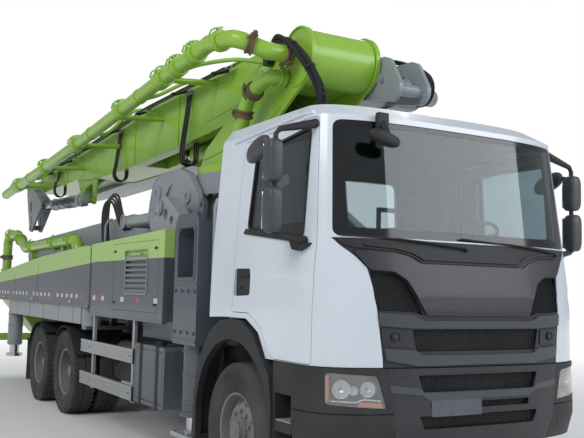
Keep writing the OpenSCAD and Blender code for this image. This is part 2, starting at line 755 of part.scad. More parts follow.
module hopper_grate() {
  color(dark) {
    for (y = [-950:95:950]) box([hopper_x0 + 20, y - 6, 1575.5], [hopper_x1 - 8, y + 6, 1600]);
    for (x = [hopper_x0 + 6, hopper_x0 + 470, hopper_x1 - 26]) box([x, -990, 1560.5], [x + 20, 990, 1575]);
  }
}
module pump_unit() {
  color(grey) {
    for (s = [-1, 1]) on_side(s) {
      bar([-4868, 190, 1180], [-2700, 190, 1180], 130);
      bar([-2400, 190, 1180], [-700, 190, 1180], 80);
      bar([-2450, 190, 1180], [-2350, 190, 1180], 110);
    }
    difference() {
      box([-2760, -345, 1000], [-2380, 345, 1380]);
      box([-2730, -315, 1360], [-2410, 315, 1390]);
    }
    box([-760, -330, 1060], [-660, 330, 1300]);
  }
}
module water_tank() {
  color(grey) xz(-900, 900) polygon([[-640, 1300], [100, 1300], [100, deck_top - 8],
    [-640, deck_top - 8]]);
}
module deck_pipe() {
  y = -1100;
  color(green) {
    run([[-4870, y, deck_top], [-4870, y, 2440], [-4120, y, 2440], [-3460, y, 2190], [-480, y, 2200],
      [-480, y, deck_top]], pipe_d / 2, 170);
    for (x = [-3000, -1200]) box([x, y - 30, deck_top], [x + 60, y + 30, 2140]);
    translate([-4870, y, deck_top]) cylinder(r = 100, h = 30, $fn = 48);
  }
}

// Boom
module turret() {
  color(green) {
    // Bolted flange over the slewing ring
    difference() {
      xy(ring_top + 0.5, ring_top2) translate([slew_x, 0]) circle(r = ring_r - 20, $fn = 64);
      for (i = [0:23]) translate([slew_x, 0, 0]) rotate([0, 0, i * 15]) translate([ring_r - 60, 0, ring_top])
        cylinder(r = 14, h = 100, $fn = 16);
    }
    // Cheeks, leaning forward to the root pin over the cab
    for (y = [cheek_y0, cheek_y1 - cheek_t])
      xz(y, y + cheek_t) hull() {
        translate([root_x, root_z]) circle(r = 270, $fn = 64);
        polygon([[3250, 2985], [3870, 3300], [3300, 3650]]);
        polygon([[1900, ring_top2 - 1], [2900, ring_top2 - 1], [3350, 3000], [2100, 3100]]);
      }
    rod_y(root_x, root_z, 50, cheek_y0 - 10, cheek_y1 + 10);
    rod_y(ram_b[0], ram_b[2], 45 - fit, cheek_y0 - 10, cheek_y1 + 5);
    // Bottom plate between the cheeks
    difference() {
      box([2000, cheek_y0 + cheek_t - eps, ring_top2 - 1], [3000, cheek_y1 - cheek_t + eps, ring_top2 + 50]);
    }
  }
}
// The lift ram stands between the cheeks
ram_b = [3300, -140, 3060];
ram_e = [800, -140, 3200];
ram_dir = (ram_e - ram_b) / norm(ram_e - ram_b);
module luff_barrel() {
  color(grey) {
    difference() {
      union() {
        rod_y(ram_b[0], ram_b[2], 110, -230, -50);
        bar(ram_b + ram_dir * 90, ram_b + ram_dir * 2150, 125);
      }
      rod_y(ram_b[0], ram_b[2], 45, -240, -40);
      bar(ram_b + ram_dir * 160, ram_b + ram_dir * 2200, 70 + fit);
    }
  }
}
module luff_rod() {
  color(steel) difference() {
    union() {
      bar(ram_b + ram_dir * 190, ram_e, 70);
      rod_y(ram_e[0], ram_e[2], 100, -220, -60);
    }
    rod_y(ram_e[0], ram_e[2], 45, -240, -40);
  }
}
// Side outline of the first arm: root eye at the front, knuckle at the rear
arm1_line = [[3990, 3480], [3300, 3400], [2900, 3330], [2140, 3290], [1060, 3250], [-270, 3210], [-1960, 3210],
  [-3050, 3310], [-4430, 3300], [-5250, 3290], [-5480, 3300], [-5540, 3420], [-5480, 3540], [-5250, 3580],
  [-4000, 3650], [-3280, 3690], [-970, 3820], [560, 3900], [2800, 3900], [3990, 3860]];
module arm_1() {
  color(green) {
    difference() {
      union() {
        xz(arm1_y0, arm1_y1) polygon(arm1_line);
        rod_y(root_x, root_z, drum_r, arm1_y0, arm1_y1, 64);
        // Free ear under the arm
        for (y = [-440, -330])
          xz(y, y + 40) polygon([[-3050, 3320], [-1960, 3215], [-2560, 3120], [-2640, 2970], [-2720, 2970]]);
      }
      rod_y(root_x, root_z, 50 + fit, arm1_y0 - 1, arm1_y1 + 1);
      // Pocket in the underside for the lift ram
      box([-300, -300, 3000], [3600, 20, 3640]);
      rod_y(k1_x, k1_z, 60 + fit, arm1_y0 - 1, arm1_y1 + 1);
    }
    // Pins of the knuckle lever and its ram
    rod_y(lever_x, lever_z, 40, -730, arm1_y0 + eps);
    xz(arm1_y0 - 20, arm1_y0 + eps) polygon([[kr_a[0] - 130, 3230], [kr_a[0] + 130, 3230], [kr_a[0] + 60, 2830],
      [kr_a[0] - 60, 2830]]);
    rod_y(kr_a[0], kr_a[2], 40 - fit, -690, arm1_y0 + eps);
  }
}
module flange(p, dir, r = 96, w = 60) {
  bar(p - dir * w / 2, p + dir * w / 2, r, 24);
}
module arm_1_pipe() {
  y = -1100;
  color(green) {
    // Along the right of the arm, from the rear knuckle's axis to the root pin's axis
    run([[k1_x, arm1_y0 - 70.5, k1_z], [k1_x, -860, k1_z], [-5400, y, 3196], [-780, y, 3480], [2320, y, 3725],
      [3460, y, 3810], [3900, y + 40, 3760], [root_x, -800, root_z], [root_x, cheek_y0 - 10.5, root_z]],
      pipe_d / 2, 150);
    for (p = [[-4210, y, 3269], [-780, y, 3480], [2320, y, 3725]])
      flange(p, [0.997, 0, 0.07]);
    // Bracket arms from the side of the arm
    difference() {
      for (b = [[-4210, 3268], [-2500, 3374], [-780, 3480], [760, 3602], [2320, 3725]])
        bar([b[0], y + 60, b[1]], [b[0] - 60, arm1_y0 + 30, b[1] + 60], 32, 16);
      box([-5000, arm1_y0, 2900], [3000, arm1_y0 + 100, 4200]);
    }
  }
}
// Knuckle ram under the first arm, on its right, and the grey lever with two oval holes
kr_a = [-2000, -620, 2880];
kr_b = [-4310, -620, 2960];
lever_x = -5240;
lever_z = 3330;
kr_dir = (kr_b - kr_a) / norm(kr_b - kr_a);
module knuckle_barrel() {
  color(grey) difference() {
    union() {
      rod_y(kr_a[0], kr_a[2], 90, -670, -570);
      bar(kr_a + kr_dir * 60, kr_a + kr_dir * 1700, 88);
    }
    rod_y(kr_a[0], kr_a[2], 40, -680, -560);
    bar(kr_a + kr_dir * 120, kr_a + kr_dir * 1800, 45 + fit);
  }
}
module knuckle_rod() {
  color(steel) difference() {
    union() {
      bar(kr_a + kr_dir * 150, kr_b, 45);
      rod_y(kr_b[0], kr_b[2], 70, -660, -580);
    }
    rod_y(kr_b[0], kr_b[2], 35, -670, -570);
  }
}
module knuckle_lever() {
  color(grey) for (y = [-720, -560]) difference() {
    xz(y, y + 30) offset(r = 30, $fn = 24) offset(delta = -30)
      polygon([[-5330, 3270], [-5160, 3400], [-4240, 3040], [-4240, 2920], [-4860, 2540], [-5000, 2560]]);
    rod_y(lever_x, lever_z, 40 + fit, y - 1, y + 31);
    xz(y - 1, y + 31) translate([-4960, 3000]) rotate(20) scale([0.6, 1]) circle(r = 110, $fn = 32);
    xz(y - 1, y + 31) translate([-4900, 2750]) rotate(20) scale([0.6, 1]) circle(r = 80, $fn = 32);
  }
  color(grey) rod_y(-4940, 2620, 45, -735, -515);
}
// One of the left-hand arms between two knuckles
module left_arm(a, b, y0, y1, h0, h1, r0, r1) {
  xz(y0, y1) hull() {
    translate(a) circle(r = r0, $fn = 48);
    translate(b) circle(r = r1, $fn = 48);
    polygon([[a[0] + (b[0] > a[0] ? 500 : -500), a[1] - h0], [b[0] + (b[0] > a[0] ? -500 : 500), b[1] - h1],
      [b[0] + (b[0] > a[0] ? -500 : 500), b[1] + h1], [a[0] + (b[0] > a[0] ? 500 : -500), a[1] + h0]]);
  }
}
arm2_y0 = cheek_y1 + 22;
arm2_y1 = arm2_y0 + 350;
arm3_y0 = arm2_y1 + 30;
arm3_y1 = arm3_y0 + 280;
module arm_2() {
  color(grey) {
    difference() {
      union() {
        left_arm([k1_x, k1_z], [k2_x, k2_z], arm2_y0, arm2_y1, 210, 190, 200, 170);
        rod_y(k1_x, k1_z, 60, arm1_y0 - 70, arm2_y0 + eps);
        rod_y(k1_x, k1_z, 90, arm1_y0 - 70, arm1_y0 - 10);
        // Link plates with a slot, ahead of the front knuckle
        for (y = [arm2_y0, arm2_y1 - 40])
          xz(y, y + 40) hull() {
            translate([k2_x, k2_z]) circle(r = 170, $fn = 32);
            translate([k2_x + 380, k2_z]) circle(r = 150, $fn = 32);
            translate([k2_x + 520, k2_z - 160]) circle(r = 115, $fn = 32);
          }
        rod_y(k2_x + 520, k2_z - 160, 55, arm2_y0, arm2_y1);
      }
      rod_y(k2_x, k2_z, 50 + fit, arm2_y0 - 1, arm2_y1 + 1);
      xz(arm2_y0 - 1, arm2_y1 + 1) translate([k2_x + 320, k2_z - 30]) rotate(-35) scale([1, 0.45]) circle(r = 100, $fn = 32);
    }
  }
}
module arm_3() {
  color(grey) {
    difference() {
      union() {
        left_arm([k2_x, k2_z - 20], [k3_x, k3_z], arm3_y0, arm3_y1, 150, 125, 170, 140);
        rod_y(k2_x, k2_z, 50, arm2_y0 - 15, arm3_y0 + eps);
        rod_y(k3_x, k3_z, 140, arm3_y0, arm3_y1);
        // Stub of the delivery pipe ahead of the knuckle
        bar([k2_x, (arm3_y0 + arm3_y1) / 2, k2_z - 40], [k2_x + 430, (arm3_y0 + arm3_y1) / 2, k2_z - 170], pipe_d / 2);
      }
      rod_y(k3_x, k3_z, 40 + fit, arm3_y0 - 1, arm3_y1 + 1);
    }
  }
}
module arm_4() {
  color(grey) {
    xz(arm3_y0, arm3_y1) hull() {
      translate([k3_x, k3_z + 245]) circle(r = 90, $fn = 32);
      translate([3300, 3790]) circle(r = 90, $fn = 32);
    }
    xz(arm3_y1 + 12, arm3_y1 + 42) hull() {
      translate([k3_x, k3_z]) circle(r = 120, $fn = 32);
      translate([k3_x, k3_z + 245]) circle(r = 90, $fn = 32);
    }
    box([k3_x - 60, arm3_y1 - eps, k3_z + 190], [k3_x + 60, arm3_y1 + 13, k3_z + 300]);
    // End of the delivery line, where the end hose is clamped
    bar([3290, (arm3_y0 + arm3_y1) / 2, 3790], [3400, (arm3_y0 + arm3_y1) / 2, 3790], 84, 48);
    bar([3300, (arm3_y0 + arm3_y1) / 2, 3790], [3560, (arm3_y0 + arm3_y1) / 2, 3790], hose_d / 2, 48);
    rod_y(k3_x, k3_z, 40, arm3_y0 - 12, arm3_y1 + 13);
  }
}

// Outriggers
module front_leg(side) {
  bx = side < 0 ? [3215, 3435] : [3455, 3675];
  color(slate) on_side(side) {
    difference() {
      xz(960, leg_y) polygon([[leg_x - 255, 1115], [leg_x + 255, 1115], [leg_x + 255, 2180], [leg_x + 200, 2260],
        [leg_x - 200, 2260], [leg_x - 255, 2180]]);
      xz(950, leg_y + 1) polygon([[leg_x - 175, 1700], [leg_x + 175, 1700], [leg_x + 175, 2080], [leg_x + 130, 2130],
        [leg_x - 130, 2130], [leg_x - 175, 2080]]);
      translate([leg_x, (960 + leg_y) / 2, 1000]) cylinder(r = 85 + fit, h = 700, $fn = 48);
    }
    // Ear with a hole
    difference() {
      xz(1180, 1220) polygon([[leg_x + 120, 2250], [leg_x + 255, 2150], [leg_x + 270, 2330], [leg_x + 230, 2380],
        [leg_x + 180, 2370]]);
      xz(1170, 1230) translate([leg_x + 222, 2320]) circle(r = 22, $fn = 24);
    }
    // Beam inside the cross box
    box([bx[0], -880, 1248], [bx[1], 961, 1552]);
    // Outer tube of the jack
    difference() {
      translate([leg_x, (960 + leg_y) / 2, 520]) cylinder(r = 125, h = 596, $fn = 48);
      translate([leg_x, (960 + leg_y) / 2, 519]) cylinder(r = 85 + fit, h = 700, $fn = 48);
    }
    difference() {
      translate([leg_x, (960 + leg_y) / 2, 500]) cylinder(r = 142, h = 40, $fn = 48);
      translate([leg_x, (960 + leg_y) / 2, 499]) cylinder(r = 85 + fit, h = 60, $fn = 48);
    }
  }
}
module front_jack(side) {
  color(steel) on_side(side) {
    translate([leg_x, (960 + leg_y) / 2, 350]) cylinder(r = 85, h = 1300, $fn = 48);
    translate([leg_x - 240, 960, 310]) cube([480, 285, 42]);
  }
}
swing_y = 1120;
module rear_arm(side) {
  color(grey) on_side(side) {
    difference() {
      union() {
        box([jack_x + 110, 1030, 1150], [swing_x - 60, side_y - 12, 1355]);
        translate([swing_x, swing_y, 1130]) cylinder(r = 110, h = 235, $fn = 48);
        translate([jack_x, swing_y, 640]) cylinder(r = 112, h = 715, $fn = 48);
      }
      translate([swing_x, swing_y, 1100]) cylinder(r = 45 + fit, h = 300, $fn = 48);
      translate([jack_x, swing_y, 600]) cylinder(r = 75 + fit, h = 700, $fn = 48);
    }
  }
}
module rear_jack(side) {
  color(steel) on_side(side) {
    translate([jack_x, swing_y, 500]) cylinder(r = 75, h = 780, $fn = 48);
    translate([jack_x, swing_y, 460]) cylinder(r = 128, h = 42, $fn = 48);
  }
}

frame_rails();
axles();
engine_block();
cab_shell();
windscreen();
cab_interior();
front_panel();
lamps();
arches_and_steps();
tanks();
side_boxes();
side_guards();
pedestal();
deck();
hopper();
hopper_grate();
pump_unit();
water_tank();
deck_pipe();
rest_frame();
door(-1);  // door_right
door(1);  // door_left
door_glass(-1);  // door_glass_right
door_glass(1);  // door_glass_left
mirror_set(-1);  // mirror_right
mirror_set(1);  // mirror_left
knuckle(-1);  // knuckle_right
knuckle(1);  // knuckle_left
front_tyre(-1);  // front_tyre_right
front_tyre(1);  // front_tyre_left
front_rim(-1);  // front_rim_right
front_rim(1);  // front_rim_left
twin_tyres(mid_x, -1);  // mid_tyres_right
twin_tyres(mid_x, 1);  // mid_tyres_left
twin_rims(mid_x, -1);  // mid_rims_right
twin_rims(mid_x, 1);  // mid_rims_left
twin_tyres(rear_x, -1);  // rear_tyres_right
twin_tyres(rear_x, 1);  // rear_tyres_left
twin_rims(rear_x, -1);  // rear_rims_right
twin_rims(rear_x, 1);  // rear_rims_left
turret();
luff_barrel();
luff_rod();
arm_1();
arm_1_pipe();
knuckle_barrel();
knuckle_rod();
knuckle_lever();
arm_2();
arm_3();
arm_4();
front_leg(-1);  // front_leg_right
front_leg(1);  // front_leg_left
front_jack(-1);  // front_jack_right
front_jack(1);  // front_jack_left
rear_arm(-1);  // rear_arm_right
rear_arm(1);  // rear_arm_left
rear_jack(-1);  // rear_jack_right
rear_jack(1);  // rear_jack_left
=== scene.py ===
import math

import bmesh
import bpy
from mathutils import Matrix, Vector


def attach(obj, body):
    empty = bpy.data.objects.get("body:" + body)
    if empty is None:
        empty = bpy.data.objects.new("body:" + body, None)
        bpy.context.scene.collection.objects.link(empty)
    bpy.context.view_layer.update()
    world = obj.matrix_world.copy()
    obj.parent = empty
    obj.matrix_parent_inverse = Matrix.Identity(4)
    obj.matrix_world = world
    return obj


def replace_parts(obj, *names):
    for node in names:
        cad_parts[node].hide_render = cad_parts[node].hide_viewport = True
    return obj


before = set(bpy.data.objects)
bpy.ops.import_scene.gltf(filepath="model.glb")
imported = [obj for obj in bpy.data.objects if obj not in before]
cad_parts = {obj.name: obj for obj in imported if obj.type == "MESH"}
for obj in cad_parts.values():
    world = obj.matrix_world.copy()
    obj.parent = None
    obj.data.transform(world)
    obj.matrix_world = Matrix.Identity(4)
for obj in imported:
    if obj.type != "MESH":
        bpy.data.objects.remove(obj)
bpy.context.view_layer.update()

# camera, fitted to the photograph's lines
camera = dict(place=(10.259, -4.122, 1.595), heading=150.003, tilt=4.959, lean=-1.329, lens=51.6)


def placeCamera():
    heading, tilt, lean = (math.radians(camera[k]) for k in ("heading", "tilt", "lean"))
    ahead = Vector((math.cos(tilt) * math.cos(heading), math.cos(tilt) * math.sin(heading), math.sin(tilt)))
    side = Vector((math.sin(heading), -math.cos(heading), 0))
    down = ahead.cross(side)
    right = math.cos(lean) * side + math.sin(lean) * down
    up = math.sin(lean) * side - math.cos(lean) * down
    data = bpy.data.cameras.new("camera")
    data.lens = camera["lens"]
    data.clip_start, data.clip_end = 0.1, 200
    made = bpy.data.objects.new("camera", data)
    made.matrix_world = Matrix((
        (right.x, up.x, -ahead.x, camera["place"][0]),
        (right.y, up.y, -ahead.y, camera["place"][1]),
        (right.z, up.z, -ahead.z, camera["place"][2]),
        (0, 0, 0, 1)))
    bpy.context.collection.objects.link(made)
    bpy.context.scene.camera = made


placeCamera()
print("camera placed")


# shader helper: a socket that takes part in sums
class Sock:
    def __init__(self, finish, socket):
        self.finish = finish
        self.socket = socket

    def calc(self, operation, *others, clamp=False):
        settings = dict(operation=operation, use_clamp=clamp)
        return self.finish.node("ShaderNodeMath", settings, [self, *others])

    def __add__(self, other):
        return self.calc("ADD", other)

    def __sub__(self, other):
        return self.calc("SUBTRACT", other)

    def __mul__(self, other):
        return self.calc("MULTIPLY", other)

    def __truediv__(self, other):
        return self.calc("DIVIDE", other)

    def __rsub__(self, other):
        return self.finish.node("ShaderNodeMath", dict(operation="SUBTRACT"), [other, self])

    __radd__ = __add__
    __rmul__ = __mul__

    def clamp(self):
        return self.calc("ADD", 0.0, clamp=True)

    def above(self, edge, soft=0.002):
        return ((self - edge) / soft + 0.5).clamp()


class Nodes:
    def __init__(self, tree):
        self.tree = tree
        self.tree.nodes.clear()

    def node(self, kind, settings=None, inputs=(), output=0):
        made = self.tree.nodes.new(kind)
        for key, value in (settings or {}).items():
            if key == "stops":
                ramp = made.color_ramp
                while len(ramp.elements) < len(value):
                    ramp.elements.new(0.5)
                for element, (place, colour) in zip(ramp.elements, value):
                    element.position = place
                    element.color = (*colour, 1)
            else:
                setattr(made, key, value)
        for key, value in inputs.items() if isinstance(inputs, dict) else enumerate(inputs):
            if isinstance(value, Sock):
                self.tree.links.new(value.socket, made.inputs[key])
            elif value is not None:
                made.inputs[key].default_value = value
        return Sock(self, made.outputs[output]) if output is not None else made


class Finish(Nodes):
    def __init__(self, name):
        self.material = bpy.data.materials.new(name)
        self.material.use_nodes = True
        super().__init__(self.material.node_tree)

    def place(self):
        return self.node("ShaderNodeTexCoord", output=3)

    def facing(self):
        return self.split(self.node("ShaderNodeTexCoord", output=1))

    def split(self, vector):
        return [self.node("ShaderNodeSeparateXYZ", None, [vector], i) for i in range(3)]

    def noise(self, vector, scale, detail=3.0, rough=0.55):
        values = {"Vector": vector, "Scale": scale, "Detail": detail, "Roughness": rough}
        return self.node("ShaderNodeTexNoise", None, values)

    def stretch(self, vector, by):
        return self.node("ShaderNodeVectorMath", dict(operation="MULTIPLY"), [vector, by])

    def mix(self, factor, low, high):
        colours = [(*c, 1) if isinstance(c, tuple) else c for c in (low, high)]
        return self.node("ShaderNodeMix", dict(data_type="RGBA"),
                         {0: factor, 6: colours[0], 7: colours[1]}, 2)

    def bump(self, height, strength=0.3, distance=0.002):
        return self.node("ShaderNodeBump", None, {"Strength": strength, "Distance": distance, "Height": height})

    def done(self, **values):
        names = dict(colour="Base Color", rough="Roughness", metal="Metallic", coat="Coat Weight",
                     coatRough="Coat Roughness", normal="Normal", alpha="Alpha", ior="IOR",
                     through="Transmission Weight", glow="Emission Color", glowStrength="Emission Strength",
                     specular="Specular IOR Level")
        shader = self.node("ShaderNodeBsdfPrincipled", None,
                           {names[k]: (*v, 1) if isinstance(v, tuple) else v for k, v in values.items()})
        return self.output(shader)

    def output(self, shader):
        self.node("ShaderNodeOutputMaterial", None, [shader], None)
        return self.material


dustColour = (0.36, 0.345, 0.325)


# paint with clouds of colour, fine specks, run marks and road dust that thickens downwards
def paint(name, colour, rough=0.34, coat=0.35, dust=0.5, low=1.5, stripe=None, metal=0.0, fine=0.5):
    f = Finish(name)
    place = f.place()
    x, y, z = f.split(place)
    cloud = f.noise(place, 1.3, 4.0)
    speck = f.noise(place, 42.0, 3.0)
    run = f.noise(f.stretch(place, (14.0, 14.0, 0.9)), 1.0, 4.0)
    upward = f.facing()[2].calc("MAXIMUM", 0.0)
    grime = ((low - z) * 0.30 + (cloud - 0.5) * 0.9 + (run - 0.52) * 0.9 + upward * 0.35 + (speck - 0.5) * fine) * dust
    grime = grime.clamp()
    deep = tuple(c * 0.86 for c in colour)
    body = f.mix(((cloud - 0.3) * 2.0).clamp(), deep, colour)
    if stripe:
        body = f.mix(stripe(f, x, y, z), body, stripe.colour)
    shade = f.mix(grime * 0.75, body, dustColour)
    return f.done(colour=shade, rough=(grime * 0.5 + (speck - 0.5) * (0.24 * fine) + rough).clamp(), metal=metal,
                  coat=(1 - grime * 1.6).clamp() * coat, coatRough=0.08,
                  normal=f.bump(speck * (0.5 * fine) + cloud, 0.10, 0.004))


# bare or blackened metal, plastic and rubber share one recipe with their own grain
def rawFinish(name, colour, rough=0.6, metal=0.0, dust=0.6, low=1.6, grain=120.0, depth=0.35):
    f = Finish(name)
    place = f.place()
    x, y, z = f.split(place)
    cloud = f.noise(place, 2.4, 4.0)
    fine = f.noise(place, grain, 2.0)
    upward = f.facing()[2].calc("MAXIMUM", 0.0)
    grime = (((low - z) * 0.28 + (cloud - 0.45) * 1.1 + upward * 0.3 + (fine - 0.5) * 0.4) * dust).clamp()
    body = f.mix(((cloud - 0.3) * 2.0).clamp(), tuple(c * 0.78 for c in colour), colour)
    return f.done(colour=f.mix(grime * 0.7, body, dustColour), rough=(grime * 0.35 + (fine - 0.5) * 0.2 + rough).clamp(),
                  metal=metal, normal=f.bump(fine, depth, 0.0015))


# the green band along the body's sides
def bandMask(f, x, y, z):
    edge = (x + 4.67) * 0.0446 + 1.64
    level = f.node("ShaderNodeMath", dict(operation="MINIMUM"), [edge, 1.885])
    return (z - level).above(0.0, 0.004) * y.calc("ABSOLUTE").above(1.15, 0.01)


bandMask.colour = (0.36, 0.55, 0.16)

finishes = dict(
    cabWhite=paint("cabWhite", (0.63, 0.705, 0.785), rough=0.30, coat=0.6, dust=0.20, low=1.45, fine=0.08),
    lime=paint("limePaint", (0.27, 0.50, 0.045), rough=0.36, coat=0.3, dust=0.30, low=2.4),
    slate=paint("slatePaint", (0.068, 0.085, 0.108), rough=0.42, coat=0.2, dust=0.26, low=1.5),
    panels=paint("panelPaint", (0.068, 0.085, 0.105), rough=0.40, coat=0.25, dust=0.34, low=1.7, stripe=bandMask),
    pipeGrey=paint("machineGrey", (0.25, 0.28, 0.31), rough=0.42, coat=0.2, dust=0.42, low=2.4),
    charcoal=paint("charcoalPaint", (0.016, 0.019, 0.024), rough=0.44, coat=0.1, dust=0.10, low=1.3),
    barGrey=paint("barPaint", (0.045, 0.052, 0.062), rough=0.40, coat=0.2, dust=0.12, low=1.3),
    plastic=rawFinish("blackPlastic", (0.013, 0.015, 0.018), rough=0.58, grain=260.0, dust=0.15, low=1.2),
    frame=rawFinish("frameBlack", (0.026, 0.028, 0.031), rough=0.66, grain=60.0, dust=0.55),
    rubber=rawFinish("tyreRubber", (0.024, 0.025, 0.027), rough=0.86, grain=90.0, dust=0.42, low=1.3),
    hose=rawFinish("hoseRubber", (0.018, 0.018, 0.019), rough=0.60, grain=300.0, dust=0.35, low=2.0),
    rim=rawFinish("rimSteel", (0.20, 0.20, 0.205), rough=0.55, metal=0.25, grain=40.0, dust=0.8, low=1.5),
    aluminium=rawFinish("guardAluminium", (0.50, 0.52, 0.54), rough=0.42, metal=0.75, grain=80.0, dust=0.6),
    cloth=rawFinish("seatCloth", (0.035, 0.036, 0.040), rough=0.95, grain=420.0, dust=0.1, depth=0.6),
    lining=rawFinish("cabLining", (0.045, 0.046, 0.048), rough=0.85, grain=220.0, dust=0.08, depth=0.5),
    rust=rawFinish("clampRust", (0.135, 0.095, 0.048), rough=0.88, grain=70.0, dust=0.5, low=3.0, depth=0.8),
    sleeve=rawFinish("hoseSleeve", (0.017, 0.017, 0.019), rough=0.90, grain=38.0, dust=0.3, low=2.0, depth=1.0),
    louvre=paint("louvreGrey", (0.20, 0.225, 0.25), rough=0.42, coat=0.2, dust=0.34, low=1.7),
    band=paint("bandGreen", (0.36, 0.55, 0.16), rough=0.40, coat=0.25, dust=0.34, low=1.7),
    concrete=rawFinish("driedConcrete", (0.30, 0.29, 0.27), rough=0.93, grain=30.0, dust=0.6, depth=0.7),
)


def chrome(name, colour=(0.62, 0.63, 0.65), rough=0.16):
    f = Finish(name)
    fine = f.noise(f.stretch(f.place(), (1.0, 1.0, 1.0)), 60.0, 3.0)
    return f.done(colour=f.mix(fine, tuple(c * 0.8 for c in colour), colour), metal=1.0, rough=(fine * 0.12 + rough).clamp())


finishes["rod"] = chrome("polishedRod")
finishes["reflector"] = chrome("lampReflector", (0.85, 0.86, 0.88), 0.08)


# glazing with a printed black border; edge gives how far inside the border a point lies
def glazing(name, edge):
    f = Finish(name)
    place = f.place()
    x, y, z = f.split(place)
    fine = f.noise(place, 9.0, 3.0)
    clear = f.node("ShaderNodeBsdfPrincipled", None, {
        "Base Color": (0.34, 0.43, 0.46, 1), "Roughness": 0.02, "IOR": 1.45, "Transmission Weight": 1.0})
    border = f.node("ShaderNodeBsdfPrincipled", None, {
        "Base Color": f.mix(fine, (0.008, 0.008, 0.009), (0.014, 0.014, 0.016)), "Roughness": 0.10})
    return f.output(f.node("ShaderNodeMixShader", None, [edge(f, x, y, z), border, clear]))


def screenClear(f, x, y, z):
    side = 1 - y.calc("ABSOLUTE").above(0.985, 0.012)
    return side * z.above(2.035, 0.012) * (1 - z.above(2.752, 0.012))


def doorClear(f, x, y, z):
    return x.above(4.585, 0.01) * (1 - x.above(5.315, 0.01)) * z.above(2.075, 0.01) * (1 - z.above(2.665, 0.01))


finishes["screenGlass"] = glazing("screenGlass", screenClear)
finishes["doorGlass"] = glazing("doorGlass", doorClear)


def lens(name, colour, through=0.6):
    f = Finish(name)
    ribs = f.node("ShaderNodeTexWave", dict(bands_direction="Y"), {"Vector": f.place(), "Scale": 60.0})
    fine = f.noise(f.place(), 30.0, 2.0)
    return f.done(colour=f.mix(fine, tuple(c * 0.8 for c in colour), colour), rough=0.08, through=through,
                  coat=0.6, normal=f.bump(ribs, 0.15, 0.001))


finishes["lampGlass"] = lens("lampGlass", (0.92, 0.95, 0.97), 0.95)
finishes["orange"] = lens("orangeLens", (0.85, 0.28, 0.03), 0.25)
finishes["red"] = lens("redLens", (0.55, 0.02, 0.015), 0.25)
finishes["shell"] = rawFinish("mirrorShell", (0.050, 0.056, 0.064), rough=0.42, grain=300.0, dust=0.3, low=1.0, depth=0.1)
finishes["mirrorGlass"] = chrome("mirrorGlass", (0.80, 0.84, 0.88), 0.02)
finishes["tapeWhite"] = rawFinish("tapeWhite", (0.62, 0.62, 0.60), rough=0.35, grain=300.0, dust=0.5)
finishes["tapeRed"] = rawFinish("tapeRed", (0.36, 0.06, 0.05), rough=0.35, grain=300.0, dust=0.5)
print("finishes made:", len(finishes))

nodeFinish = dict(
    frame_rails="frame", axles="frame", engine_block="frame", cab_shell="cabWhite", windscreen="screenGlass",
    cab_interior="cloth", front_panel="charcoal", lamps="lampGlass", arches_and_steps="plastic", tanks="slate",
    side_boxes="panels", side_guards="aluminium", pedestal="pipeGrey", deck="panels", hopper="lime",
    hopper_grate="frame", pump_unit="pipeGrey", water_tank="pipeGrey", deck_pipe="lime", rest_frame="pipeGrey",
    door_right="cabWhite", door_left="cabWhite", door_glass_right="doorGlass", door_glass_left="doorGlass",
    mirror_right="plastic", mirror_left="plastic", knuckle_right="frame", knuckle_left="frame",
    turret="lime", luff_barrel="lime", luff_rod="rod", arm_1="lime", arm_1_pipe="lime",
    knuckle_barrel="pipeGrey", knuckle_rod="rod", knuckle_lever="pipeGrey", arm_2="pipeGrey", arm_3="pipeGrey",
    arm_4="pipeGrey", front_leg_right="slate", front_leg_left="slate", front_jack_right="rod",
    front_jack_left="rod", rear_arm_right="pipeGrey", rear_arm_left="pipeGrey", rear_jack_right="rod",
    rear_jack_left="rod")
for nodeName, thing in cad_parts.items():
    kind = nodeFinish.get(nodeName) or ("rubber" if "tyre" in nodeName else "rim")
    thing.data.materials.clear()
    thing.data.materials.append(finishes[kind])


